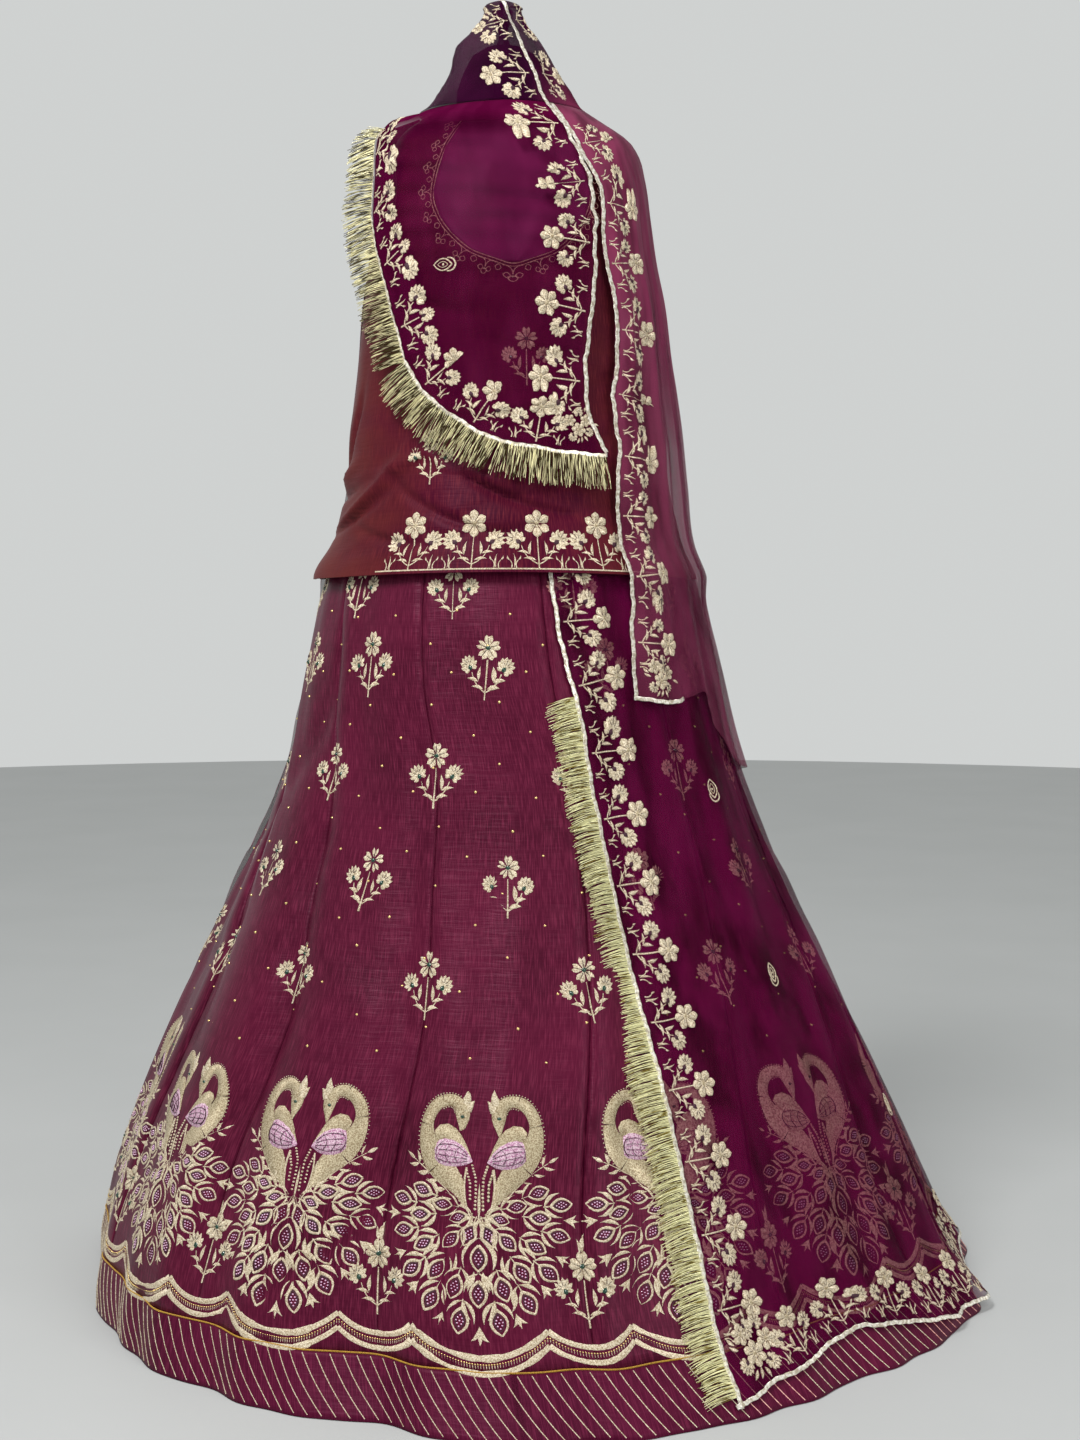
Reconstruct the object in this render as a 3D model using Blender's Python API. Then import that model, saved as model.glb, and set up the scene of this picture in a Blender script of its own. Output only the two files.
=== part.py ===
"""Rajputi poshak on a limbless dress form: a gored skirt, a sleeveless tunic and a sheer veil.

Metres, +Z up, the garment's front towards -Y, the floor at Z = 0. A bearing is an angle in degrees
round the figure, 0 at the front and growing towards +X. Every piece of cloth is a thin closed wall
whose middle surface is worked out from a bearing, a height and a lift off the body below it.
"""
import math

import bpy
import numpy as np

# Cloth and seams
CLOTH = 0.0012
SEAM = 0.0003
RIBBON = 0.0010
RIBBON_WIDTH = 0.010
RIBBON_GAP = 0.0004
METRES_PER_DEGREE = 0.003

# Skirt
GORES = 15
FIRST_GORE = -3.5
GORE_COLUMNS = 4
BAND_HEIGHT = 0.057
HEM_CLEARANCE = 0.0006
WAIST_HEIGHT = 1.045
WAISTBAND_HEIGHT = 0.030
WAISTBAND_THICK = 0.0024
WAISTBAND_CLEAR = 0.0006
RIPPLE_COUNT = 15
RIPPLE_DEPTH = 0.0030
SWAY_COUNT = 6
SWAY_DEPTH = 0.006

# Tunic
TUNIC_HEM = 0.860
TUNIC_TOP = 1.432
ARMPIT = 1.235
SHOULDER_POINT = 1.398
ARMHOLE_HALF = 34.0

# Veil
VEIL_SPLIT = 1.4285
VEIL_TOP = 1.569
VEIL_GAP = 0.0006
HOOD_SLIT = 1.2
VEIL_LIFT_ON_SKIRT = 0.0085
CHEST_LIFT = 0.0015
TUCKED_LIFT = 0.0040
TUCKED_TACK = 0.0019
BACK_LIFT = 0.0065
SIDE_BEARING = 96.4
BACK_START = 96.45
BACK_END = 262.0
FALL_FOLDS = 4
FALL_FOLD_DEPTH = 0.0045
BACK_FOLDS = 5
BACK_FOLD_DEPTH = 0.006

# Fringe
STRIP_WIDTH = 0.005
STRIP_THICK = 0.0012
STRIP_OFF_EDGE = 0.0009
LOCK_LENGTH = 0.038
LOCK_TIP = 0.45
LOCK_RISE = 0.10
LOCK_SCATTER = 0.08

# Dress form
BASE_RADIUS = 0.160
BASE_THICK = 0.018
POLE_RADIUS = 0.016
FORM_BOTTOM = 0.880
FORM_TOP = 1.434
FORM_WAIST = 1.060
FORM_GAP = 0.0003
FORM_SIDES = 32
FINIAL_CLEAR = 0.0005

SKIRT = dict(
    height=(0.000, 0.030, 0.060, 0.102, 0.168, 0.267, 0.365, 0.463, 0.560, 0.657, 0.753, 0.862, 0.940,
            1.000, 1.045),
    left=(0.550, 0.527, 0.507, 0.489, 0.464, 0.427, 0.383, 0.340, 0.301, 0.270, 0.249, 0.224, 0.194,
          0.166, 0.1332),
    front=(0.562, 0.538, 0.517, 0.497, 0.470, 0.431, 0.384, 0.338, 0.297, 0.264, 0.240, 0.209, 0.178,
           0.146, 0.1032),
    back=(0.456, 0.441, 0.428, 0.415, 0.396, 0.368, 0.336, 0.303, 0.272, 0.246, 0.226, 0.198, 0.168,
          0.138, 0.1012),
    centre=(0.030, 0.022, 0.015, 0.010, 0.007, 0.005, 0.003, 0.001, 0.0, 0.0, 0.001, 0.0, 0.0, 0.0, 0.0),
)
SKIRT["right"] = SKIRT["left"]

GORE_FLOW = dict(
    height=(0.000, 0.190, 0.410, 0.520, 0.635, 0.750, 0.862, 1.045),
    spread=(3.0, 4.0, 8.0, 15.0, 20.0, 25.0, 27.0, 27.0),
    twist=(0.0, 0.0, 4.0, 4.5, 4.0, -1.0, -3.0, -3.0),
)

FORM = dict(
    height=(0.880, 0.940, 1.000, 1.040, 1.060, 1.080, 1.120, 1.180, 1.230, 1.280, 1.330, 1.360, 1.385,
            1.405, 1.420, 1.434),
    left=(0.150, 0.163, 0.146, 0.1300, 0.1295, 0.1295, 0.133, 0.145, 0.155, 0.156, 0.152, 0.147, 0.139,
          0.127, 0.107, 0.078),
    front=(0.115, 0.125, 0.110, 0.1000, 0.0995, 0.0995, 0.104, 0.120, 0.134, 0.132, 0.116, 0.104, 0.091,
           0.079, 0.067, 0.055),
    back=(0.115, 0.125, 0.110, 0.0980, 0.0975, 0.0975, 0.099, 0.102, 0.106, 0.109, 0.107, 0.099, 0.088,
          0.077, 0.066, 0.055),
)
FORM["right"] = FORM["left"]

TUNIC = dict(
    height=(0.848, 0.862, 0.900, 0.940, 0.975, 1.040, 1.100, 1.160, 1.220, 1.270, 1.320, 1.360, 1.385,
            1.405, 1.420, 1.434),
    left=(0.238, 0.235, 0.218, 0.208, 0.200, 0.196, 0.187, 0.181, 0.174, 0.167, 0.160, 0.152, 0.1428,
          0.1298, 0.1092, 0.0802),
    front=(0.228, 0.224, 0.210, 0.195, 0.184, 0.160, 0.150, 0.150, 0.150, 0.143, 0.126, 0.108, 0.0938,
           0.0812, 0.0692, 0.0572),
    back=(0.214, 0.211, 0.199, 0.185, 0.170, 0.142, 0.127, 0.121, 0.122, 0.122, 0.117, 0.104, 0.0908,
          0.0792, 0.0682, 0.0572),
)
TUNIC["right"] = TUNIC["left"]

VEIL = dict(
    height=(0.820, 0.862, 0.900, 0.975, 1.040, 1.130, 1.200, 1.250, 1.300, 1.350, 1.381, 1.405, 1.420,
            1.434, 1.449, 1.463, 1.478, 1.493, 1.507, 1.522, 1.537, 1.551, 1.564, 1.569),
    left=(0.243, 0.241, 0.224, 0.206, 0.201, 0.190, 0.184, 0.176, 0.170, 0.165, 0.160, 0.154, 0.142,
          0.118, 0.096, 0.084, 0.070, 0.063, 0.057, 0.050, 0.036, 0.024, 0.018, 0.002),
    right=(0.243, 0.241, 0.226, 0.216, 0.209, 0.196, 0.189, 0.180, 0.174, 0.168, 0.160, 0.142, 0.124,
           0.104, 0.090, 0.080, 0.070, 0.062, 0.056, 0.048, 0.032, 0.022, 0.016, 0.002),
    front=(0.234, 0.231, 0.217, 0.191, 0.168, 0.158, 0.158, 0.156, 0.145, 0.127, 0.113, 0.100, 0.093,
           0.087, 0.080, 0.074, 0.068, 0.063, 0.058, 0.050, 0.034, 0.022, 0.014, 0.002),
    back=(0.221, 0.218, 0.205, 0.176, 0.150, 0.136, 0.133, 0.134, 0.130, 0.122, 0.114, 0.106, 0.101,
          0.096, 0.090, 0.082, 0.072, 0.064, 0.058, 0.050, 0.036, 0.024, 0.016, 0.002),
)
VEIL_CENTRE = dict(height=(0.820, 1.478, 1.507, 1.537, 1.569), shift=(0.0, 0.0, -0.004, -0.005, -0.006))

# Edges of the veil's stretches: a row for each bend, as bearing and height
CHEST_LEFT = dict(
    bearing=(-88.0, -72.5, -70.0, -60.5, -50.5, -44.5, -38.0),
    height=(1.4150, 1.3510, 1.3010, 1.2540, 1.2090, 1.1670, 1.1150),
)
CHEST_BOTTOM = dict(
    bearing=(-38.0, -29.0, -19.0, -10.0, -1.8, 7.7, 17.3, 27.5, 34.0),
    height=(1.1150, 1.0770, 1.0510, 1.0310, 1.0180, 1.0120, 1.0060, 1.0030, 1.0030),
)
CHEST_RIGHT = dict(
    bearing=(27.6, 27.4, 29.7, 32.7, 35.0, 36.0, 34.2, 30.9, 28.3, 27.0, 28.0, 34.0),
    height=(1.4285, 1.3940, 1.3690, 1.3490, 1.3300, 1.2820, 1.2270, 1.1700, 1.1200, 1.0750, 1.0450, 1.0030),
)
CHEST_TOP = dict(bearing=(-88.0, -76.0, -60.0, 27.6), height=(1.4150, 1.4250, 1.4285, 1.4285))
HOOD_EDGE = dict(
    height=(1.4285, 1.4500, 1.4820, 1.5070, 1.5280, 1.5690),
    bearing=(27.6, 26.6, 24.7, 21.5, 19.0, 9.0),
)
FALL_LEFT = dict(
    height=(0.721, 0.760, 0.810, 0.831, 0.902, 0.962, 1.020, 1.036, 1.077, 1.119, 1.173, 1.206, 1.247,
            1.319, 1.349, 1.369, 1.394, 1.4279),
    bearing=(35.0, 35.5, 36.4, 37.7, 35.8, 36.2, 38.7, 37.6, 37.4, 41.0, 42.1, 40.7, 39.0, 40.5, 35.0,
             31.2, 28.8, 28.8),
)
FALL_END = 96.0
FALL_FOOT = dict(bearing=(35.0, 48.0, 58.0, 64.0, 72.0, 96.0), height=(0.721, 0.714, 0.728, 0.700, 0.640, 0.615))
TUCKED_LEFT = dict(
    height=(0.012, 0.148, 0.300, 0.428, 0.512, 0.589, 0.631, 0.688, 0.723, 0.754, 0.795, 0.862, 1.043),
    bearing=(23.4, 23.7, 23.2, 22.3, 21.8, 20.8, 19.9, 19.2, 17.8, 16.1, 14.2, 12.8, 12.0),
)
TUCKED_FOOT = dict(
    bearing=(23.0, 28.7, 34.6, 45.2, 51.2, 61.7, 75.0, 97.0),
    height=(0.012, 0.023, 0.031, 0.044, 0.034, 0.016, 0.012, 0.030),
)
BACK_FOOT = dict(bearing=(96.0, 130.0, 180.0, 230.0, 262.0), height=(0.030, 0.045, 0.090, 0.260, 0.420))

# Heights of the rows of points down the two longest stretches
TUCKED_ROWS = (1.043, 1.022, 1.000, 0.975, 0.940, 0.900, 0.860, 0.760, 0.660, 0.560, 0.440, 0.300, 0.170,
               0.110, 0.057, 0.030, 0.012)
BACK_ROWS = (1.4279, 1.410, 1.380, 1.340, 1.290, 1.220, 1.140, 1.060, 0.980, 0.900, 0.860, 0.820, 0.750,
             0.670, 0.590, 0.500, 0.400, 0.300, 0.200, 0.120, 0.030)


def profile(heights, table, column):
    """Smooth value of a table's column at each height: cubic pieces with central slopes."""
    knots = np.array(table["height"])
    values = np.array(table[column])
    slopes = np.gradient(values, knots)
    cell = np.clip(np.searchsorted(knots, heights) - 1, 0, len(knots) - 2)
    step = knots[cell + 1] - knots[cell]
    t = np.clip((heights - knots[cell]) / step, 0.0, 1.0)
    start = (2 * t ** 3 - 3 * t ** 2 + 1) * values[cell] + (t ** 3 - 2 * t ** 2 + t) * step * slopes[cell]
    end = (3 * t ** 2 - 2 * t ** 3) * values[cell + 1] + (t ** 3 - t ** 2) * step * slopes[cell + 1]
    return start + end


def straight(at, table, given, column):
    """Value of a table's column where its given column is at, along straight runs."""
    return np.interp(at, table[given], table[column])


def around(bearing, height, table, centre, lift):
    """Point at a bearing and height on an oval body with its own left, right, front and back."""
    turn = np.radians(bearing)
    side = np.where(np.sin(turn) > 0, profile(height, table, "right"), profile(height, table, "left"))
    depth = np.where(np.cos(turn) > 0, profile(height, table, "front"), profile(height, table, "back"))
    x = centre + (side + lift) * np.sin(turn)
    y = -(depth + lift) * np.cos(turn)
    return np.stack([x, y, height + 0.0 * x], axis=-1)


def skirt_lift(bearing, height):
    """Ripples and slow sways of the skirt, growing from nothing at the hip to the hem."""
    drop = np.clip((0.90 - height) / 0.80, 0.0, 1.0)
    turn = np.radians(bearing)
    ripple = np.cos(RIPPLE_COUNT * (turn - math.radians(FIRST_GORE)))
    sway = np.sin(SWAY_COUNT * turn + 0.6) + 0.5 * np.sin(4.0 * turn + 2.0)
    return drop * (RIPPLE_DEPTH * ripple + SWAY_DEPTH * sway)


def skirt(bearing, height, lift=0.0):
    """Point on the skirt."""
    rise = lift + skirt_lift(bearing, height)
    return around(bearing, height, SKIRT, profile(height, SKIRT, "centre"), rise)


def tunic(bearing, height, lift=0.0):
    """Point on the tunic."""
    return around(bearing, height, TUNIC, 0.0, lift)


def form(bearing, height, lift=0.0):
    """Point on the dress form's torso."""
    return around(bearing, height, FORM, 0.0, lift)


def veil(bearing, height, lift=0.0):
    """Point on the veil: round the tunic and hood above the tunic's hem, over the skirt below it."""
    centre = straight(height, VEIL_CENTRE, "height", "shift")
    upper = around(bearing, height, VEIL, centre, lift)
    lower = skirt(bearing, height, lift + VEIL_LIFT_ON_SKIRT)
    share = np.clip((height - 0.820) / 0.042, 0.0, 1.0)[..., None]
    return upper * share + lower * (1.0 - share)


def chest_veil(bearing, height, lift=0.0):
    """Veil across the chest, standing a little off the shoulders' own veil surface."""
    rise = np.clip((1.4285 - height) / 0.030, 0.0, 1.0)
    return veil(bearing, height, lift + CHEST_LIFT * rise)


def fall(bearing, height, lift=0.0):
    """Veil hanging from the shoulder, with four folds that stand off it and deepen downwards."""
    left = straight(height, FALL_LEFT, "height", "bearing")
    across = np.clip((bearing - left) / (FALL_END - left), 0.0, 1.0)
    depth = FALL_FOLD_DEPTH * np.clip((1.40 - height) / 0.30, 0.0, 1.0)
    fold = 0.5 - 0.5 * np.cos(2.0 * math.pi * FALL_FOLDS * across)
    return veil(bearing, height, lift + depth * fold)


def back_veil(bearing, height, lift=0.0):
    """Veil down the back in soft folds, lying close on the skirt below the hip."""
    drop = np.clip((0.66 - height) / 0.10, 0.0, 1.0)
    along_back = (bearing - BACK_START) / (BACK_END - BACK_START)
    depth = BACK_FOLD_DEPTH * np.clip((1.40 - height) / 0.40, 0.0, 1.0) * np.clip(8.0 * along_back, 0.0, 1.0)
    fold = 0.5 - 0.5 * np.cos(2.0 * math.pi * BACK_FOLDS * along_back)
    settle = drop * (BACK_LIFT - VEIL_LIFT_ON_SKIRT)
    return veil(bearing, height, lift + depth * fold + settle)


def tucked(bearing, height, lift=0.0):
    """Veil stretch over the skirt's front, its top tucked close under the waistband."""
    close = np.clip((height - 1.000) / 0.043, 0.0, 1.0)
    return skirt(bearing, height, lift + TUCKED_LIFT + (TUCKED_TACK - TUCKED_LIFT) * close)


def gore_bearing(lattice, height):
    """Bearing of a line that follows the gores: they spread at the front hip and sway a little."""
    spread = profile(height, GORE_FLOW, "spread")
    twist = profile(height, GORE_FLOW, "twist")
    return lattice + twist + spread * np.sin(np.radians(lattice + 2.0))


def sheet(surface, bearing, height):
    """Points of a surface over grids of bearing and height, with its outward normals."""
    points = surface(bearing, height)
    across = surface(bearing + 0.05, height) - surface(bearing - 0.05, height)
    upward = surface(bearing, height + 0.0002) - surface(bearing, height - 0.0002)
    normals = np.cross(across, upward)
    normals /= np.linalg.norm(normals, axis=-1, keepdims=True)
    return dict(points=points, normals=normals)


def material(name, colour, roughness, metallic=0.0):
    """A plain finish for a sub-part."""
    made = bpy.data.materials.new(name)
    made.use_nodes = True
    shader = made.node_tree.nodes["Principled BSDF"]
    shader.inputs["Base Color"].default_value = (*colour, 1.0)
    shader.inputs["Roughness"].default_value = roughness
    shader.inputs["Metallic"].default_value = metallic
    return made


def add_object(name, points, faces, finish):
    """A new object from points and faces."""
    mesh = bpy.data.meshes.new(name)
    mesh.from_pydata([tuple(map(float, p)) for p in points], [], faces)
    mesh.validate()
    mesh.materials.append(finish)
    made = bpy.data.objects.new(name, mesh)
    bpy.context.scene.collection.objects.link(made)
    return made


def wall(name, cloth, thick, finish, ring=False):
    """Closed wall round a sheet: an outer and an inner skin half a thickness off it, and its rims.

    Rows run downwards and columns towards growing bearings. A ring joins its last column to its first.
    """
    points, normals = cloth["points"], cloth["normals"]
    rows, columns = points.shape[:2]
    outer = (points + normals * thick / 2).reshape(-1, 3)
    inner = (points - normals * thick / 2).reshape(-1, 3)
    count = rows * columns
    faces = []
    span = columns if ring else columns - 1
    for r in range(rows - 1):
        for c in range(span):
            a = r * columns + c
            b = r * columns + (c + 1) % columns
            d = a + columns
            e = b + columns
            faces.append((a, d, e, b))
            faces.append((count + a, count + b, count + e, count + d))
    for c in range(span):
        a, b = c, (c + 1) % columns
        faces.append((a, b, count + b, count + a))
        a, b = (rows - 1) * columns + c, (rows - 1) * columns + (c + 1) % columns
        faces.append((b, a, count + a, count + b))
    if not ring:
        for r in range(rows - 1):
            a, b = r * columns, (r + 1) * columns
            faces.append((b, a, count + a, count + b))
            a, b = a + columns - 1, b + columns - 1
            faces.append((a, b, count + b, count + a))
    return add_object(name, np.vstack([outer, inner]), faces, finish)


def turned(name, rows, sides, finish):
    """Closed oval solid with flat ends; each row holds a height, two radii and a shift along X."""
    turn = np.arange(sides) * 2.0 * math.pi / sides
    rings = []
    for height, wide, deep, shift in rows:
        ring = np.stack([shift + wide * np.sin(turn), -deep * np.cos(turn), np.full(sides, height)], axis=-1)
        rings.append(ring)
    return add_rings(name, np.array(rings), finish)


def add_rings(name, rings, finish):
    """Closed solid from rings of points stacked upwards."""
    count, sides = rings.shape[:2]
    faces = []
    for r in range(count - 1):
        for c in range(sides):
            a, b = r * sides + c, r * sides + (c + 1) % sides
            faces.append((a, b, b + sides, a + sides))
    faces.append(tuple(reversed(range(sides))))
    faces.append(tuple(range((count - 1) * sides, count * sides)))
    return add_object(name, rings.reshape(-1, 3), faces, finish)


def edge_line(cloth, side):
    """A sheet's edge, its next line inwards and its normals there, as rows of points."""
    points, normals = cloth["points"], cloth["normals"]
    if side == "left":
        return points[:, 0], points[:, 1], normals[:, 0]
    if side == "right":
        return points[:, -1], points[:, -2], normals[:, -1]
    return points[-1], points[-2], normals[-1]


def unit(vectors):
    """Vectors made one long."""
    return vectors / np.linalg.norm(vectors, axis=-1, keepdims=True)


def ribbon(name, cloth, side, finish, first=0, last=None):
    """Flat ribbon lying on a sheet's edge, made from the sheet's own points moved out."""
    edge, inward, normals = (line[first:last] for line in edge_line(cloth, side))
    lift = CLOTH / 2 + RIBBON_GAP + RIBBON / 2
    near = edge + normals * lift
    far = near + unit(inward - edge) * RIBBON_WIDTH
    if side == "right":
        near, far = far, near
    points = np.stack([near, far], axis=1)
    spread = np.stack([normals, normals], axis=1)
    if side == "bottom":
        points = points[:, ::-1].transpose(1, 0, 2)
        spread = spread.transpose(1, 0, 2)
    wall(name, dict(points=points, normals=spread), RIBBON, finish)


def length_shares(line):
    """Share of a polyline's length reached at each of its points."""
    steps = np.r_[0.0, np.cumsum(np.linalg.norm(np.diff(line, axis=0), axis=1))]
    return steps / steps[-1]


def sampled(line, shares, at):
    """A polyline's values at given shares of its length."""
    return np.stack([np.interp(at, shares, line[:, k]) for k in range(line.shape[1])], axis=-1)


def fringe(name, cloth, side, locks, pull, sag, finish, first=0, last=None, seed=1):
    """Strip just outside a sheet's edge with tapered locks growing from its outer face.

    Neighbouring locks share an edge at their roots and part from there. pull bends the strip from the
    direction that leads out of the cloth, and sag lets the locks sink.
    """
    edge, inward, normals = (line[first:last] for line in edge_line(cloth, side))
    shares = length_shares(edge)
    rng = np.random.default_rng(seed)
    at = np.linspace(0.0, 1.0, locks + 1)
    root = sampled(edge, shares, at)
    normal = unit(sampled(normals, shares, at))
    out = unit(sampled(unit(edge - inward), shares, at))
    run = unit(np.gradient(root, axis=0))
    out = unit(out - run * np.sum(out * run, axis=1, keepdims=True))
    lean = unit(out + np.array(pull))
    lean = unit(lean - run * np.sum(lean * run, axis=1, keepdims=True))
    face = np.cross(run, lean)
    face *= np.sign(np.sum(face * normal, axis=1, keepdims=True))
    start = root + out * STRIP_OFF_EDGE
    finish_line = start + lean * STRIP_WIDTH
    half = face * STRIP_THICK / 2
    points = np.stack([start - half, start + half, finish_line + half, finish_line - half], axis=1)
    points = points.reshape(-1, 3).tolist()
    faces = [(0, 1, 2, 3)]
    for k in range(len(at) - 1):
        a, b = 4 * k, 4 * (k + 1)
        faces.append((a, b, b + 1, a + 1))
        faces.append((a + 1, b + 1, b + 2, a + 2))
        faces.append((a + 3, b + 3, b, a))
        corners = np.array([points[a + 2], points[b + 2], points[b + 3], points[a + 3]])
        middle = corners.mean(axis=0)
        scatter = LOCK_SCATTER * rng.uniform(-1.0, 1.0, 3) - np.array([0.0, 0.0, sag])
        aim = unit(lean[k] + LOCK_RISE * normal[k] + scatter)
        reach = LOCK_LENGTH * rng.uniform(0.88, 1.06)
        tip = middle + aim * reach + (corners - middle) * LOCK_TIP
        base = len(points)
        points.extend(tip.tolist())
        ring = (a + 2, b + 2, b + 3, a + 3)
        for side_index in range(4):
            after = (side_index + 1) % 4
            faces.append((ring[side_index], ring[after], base + after, base + side_index))
        faces.append((base, base + 1, base + 2, base + 3))
    last_ring = 4 * (len(at) - 1)
    faces.append((last_ring + 3, last_ring + 2, last_ring + 1, last_ring))
    made = add_object(name, points, faces, finish)
    return outward(made)


def outward(made):
    """Turn a closed mesh's faces outwards."""
    mesh = made.data
    corners = np.array([v.co[:] for v in mesh.vertices])
    volume = 0.0
    for face in mesh.polygons:
        fan = corners[list(face.vertices)]
        for k in range(1, len(fan) - 1):
            volume += np.dot(fan[0], np.cross(fan[k], fan[k + 1]))
    if volume < 0.0:
        mesh.flip_normals()
    return made


def build_skirt(silk, band_silk):
    """The gores, each a wall from the waist to the hem band, and the band under each gore."""
    heights = np.array([1.0447, 0.985, 0.860, 0.760, 0.660, 0.560, 0.440, 0.300, 0.170, 0.110,
                        BAND_HEIGHT + SEAM])
    shares = np.linspace(0.0, 1.0, GORE_COLUMNS + 1)
    band_heights = np.array([BAND_HEIGHT, 0.030, HEM_CLEARANCE])
    for gore in range(GORES):
        left = FIRST_GORE + (gore - GORES // 2 - 0.5) * 360.0 / GORES
        for name, rows, finish in (("gore", heights, silk), ("hem_band", band_heights, band_silk)):
            lattice, height = np.meshgrid(left + shares * 360.0 / GORES, rows)
            bearing = gore_bearing(lattice, height)
            half_gap = np.degrees(SEAM / 2 / np.maximum(profile(height, SKIRT, "back"), 0.05))
            bearing[:, 0] += half_gap[:, 0]
            bearing[:, -1] -= half_gap[:, -1]
            wall(f"{name}_{gore + 1:02d}", sheet(skirt, bearing, height), CLOTH, finish)


def build_waistband(silk):
    """The band that the gores hang from, a ring close round the form's waist."""
    turn = np.arange(FORM_SIDES) * 360.0 / FORM_SIDES
    heights = np.array([WAIST_HEIGHT + WAISTBAND_HEIGHT, WAIST_HEIGHT])
    bearing, height = np.meshgrid(turn, heights)
    at_waist = 0.0 * height + FORM_WAIST
    clear = WAISTBAND_CLEAR + WAISTBAND_THICK / 2
    ring = form(bearing, at_waist, clear)
    ring[..., 2] = height
    normals = ring - np.array([0.0, 0.0, 1.0]) * ring[..., 2:3]
    normals = unit(normals)
    wall("waistband", dict(points=ring, normals=normals), WAISTBAND_THICK, silk, ring=True)


def armhole(height):
    """Half angle by which a tunic panel stops short of the side, from armpit to shoulder."""
    rise = np.clip((height - ARMPIT) / (SHOULDER_POINT - ARMPIT), 0.0, 1.0)
    return ARMHOLE_HALF * np.sin(math.pi * rise) ** 0.7


def build_tunic(silk):
    """Front and back panels, joined at the sides and shoulders, with neck, armholes and hem open."""
    heights = np.array([TUNIC_TOP, 1.420, 1.405, 1.385, 1.350, 1.310, 1.270, 1.235, 1.160, 1.070, 0.990,
                        0.920, TUNIC_HEM])
    across = np.linspace(-1.0, 1.0, FORM_SIDES // 2 + 1)
    gap = np.degrees(SEAM / 2 / 0.10)
    for name, middle in (("tunic_front", 0.0), ("tunic_back", 180.0)):
        share, height = np.meshgrid(across, heights)
        reach = 90.0 - gap - armhole(height)
        bearing = middle + share * reach
        lowest = height == TUNIC_HEM
        height = np.where(lowest, height + 0.008 * np.cos(np.radians(bearing)) ** 2, height)
        wall(name, sheet(tunic, bearing, height), CLOTH, silk)


def build_hood(voile):
    """Veil over the head, a tent with a slit along its bordered front edge."""
    heights = np.array([1.569, 1.564, 1.551, 1.530, 1.505, 1.480, 1.460, 1.444, VEIL_SPLIT + VEIL_GAP])
    share, height = np.meshgrid(np.linspace(0.0, 1.0, 22), heights)
    edge = straight(height, HOOD_EDGE, "height", "bearing")
    bearing = edge - (1.0 - share) * (360.0 - HOOD_SLIT)
    cloth = sheet(veil, bearing, height)
    wall("veil_hood", cloth, CLOTH, voile)
    return cloth


def resampled(table, count):
    """Evenly spaced points along an edge table, as bearing and height."""
    line = np.stack([np.array(table["bearing"]) * METRES_PER_DEGREE, np.array(table["height"])], axis=-1)
    points = sampled(line, length_shares(line), np.linspace(0.0, 1.0, count))
    return points[:, 0] / METRES_PER_DEGREE, points[:, 1]


def row_shares(heights):
    """Shares of the way down, from a list of falling heights."""
    drop = np.array(heights)
    return (drop[0] - drop) / (drop[0] - drop[-1])


def build_chest(voile):
    """Veil drawn across the chest: a patch blended between its four edges."""
    rows, columns = 15, 13
    left = np.stack(resampled(CHEST_LEFT, rows), axis=-1)[:, None]
    right = np.stack(resampled(CHEST_RIGHT, rows), axis=-1)[:, None]
    top = np.stack(resampled(CHEST_TOP, columns), axis=-1)[None]
    bottom = np.stack(resampled(CHEST_BOTTOM, columns), axis=-1)[None]
    v = np.linspace(0.0, 1.0, rows)[:, None, None]
    u = np.linspace(0.0, 1.0, columns)[None, :, None]
    corners = ((1 - u) * (1 - v) * top[:, :1] + u * (1 - v) * top[:, -1:]
               + (1 - u) * v * bottom[:, :1] + u * v * bottom[:, -1:])
    grid = (1 - u) * left + u * right + (1 - v) * top + v * bottom - corners
    cloth = sheet(chest_veil, grid[..., 0], grid[..., 1])
    wall("veil_chest", cloth, CLOTH, voile)
    return cloth


def build_fall(voile):
    """Veil falling from the shoulder down the front, to a corner below the tunic's hem."""
    share_down, share_across = np.meshgrid(np.linspace(0.0, 1.0, 17), np.linspace(0.0, 1.0, 13),
                                           indexing="ij")
    top = VEIL_SPLIT - VEIL_GAP
    start = FALL_FOOT["bearing"][0]
    foot_bearing = start + share_across * (FALL_END - start)
    foot = straight(foot_bearing, FALL_FOOT, "bearing", "height")
    height = top + (foot - top) * share_down
    left = straight(height, FALL_LEFT, "height", "bearing")
    cloth = sheet(fall, left + share_across * (FALL_END - left), height)
    wall("veil_fall", cloth, CLOTH, voile)
    return cloth


def build_tucked(voile):
    """Veil end tucked in at the waist and spread over the skirt's front and side to the floor."""
    share_down, share_across = np.meshgrid(row_shares(TUCKED_ROWS), np.linspace(0.0, 1.0, 15), indexing="ij")
    top = TUCKED_ROWS[0]
    start = TUCKED_LEFT["bearing"][0]
    foot_bearing = start + share_across * (SIDE_BEARING - start)
    foot = straight(foot_bearing, TUCKED_FOOT, "bearing", "height")
    height = top + (foot - top) * share_down
    left = straight(height, TUCKED_LEFT, "height", "bearing")
    cloth = sheet(tucked, left + share_across * (SIDE_BEARING - left), height)
    wall("veil_tucked", cloth, CLOTH, voile)
    return cloth


def build_back(voile):
    """Veil down the back, from the shoulders over the skirt, its right edge joining the tucked end."""
    share_down, share_across = np.meshgrid(row_shares(BACK_ROWS), np.linspace(0.0, 1.0, 20), indexing="ij")
    top = BACK_ROWS[0]
    bearing = BACK_START + share_across * (BACK_END - BACK_START)
    foot = straight(bearing, BACK_FOOT, "bearing", "height")
    height = top + (foot - top) * share_down
    cloth = sheet(back_veil, bearing, height)
    wall("veil_back", cloth, CLOTH, voile)
    return cloth


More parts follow.
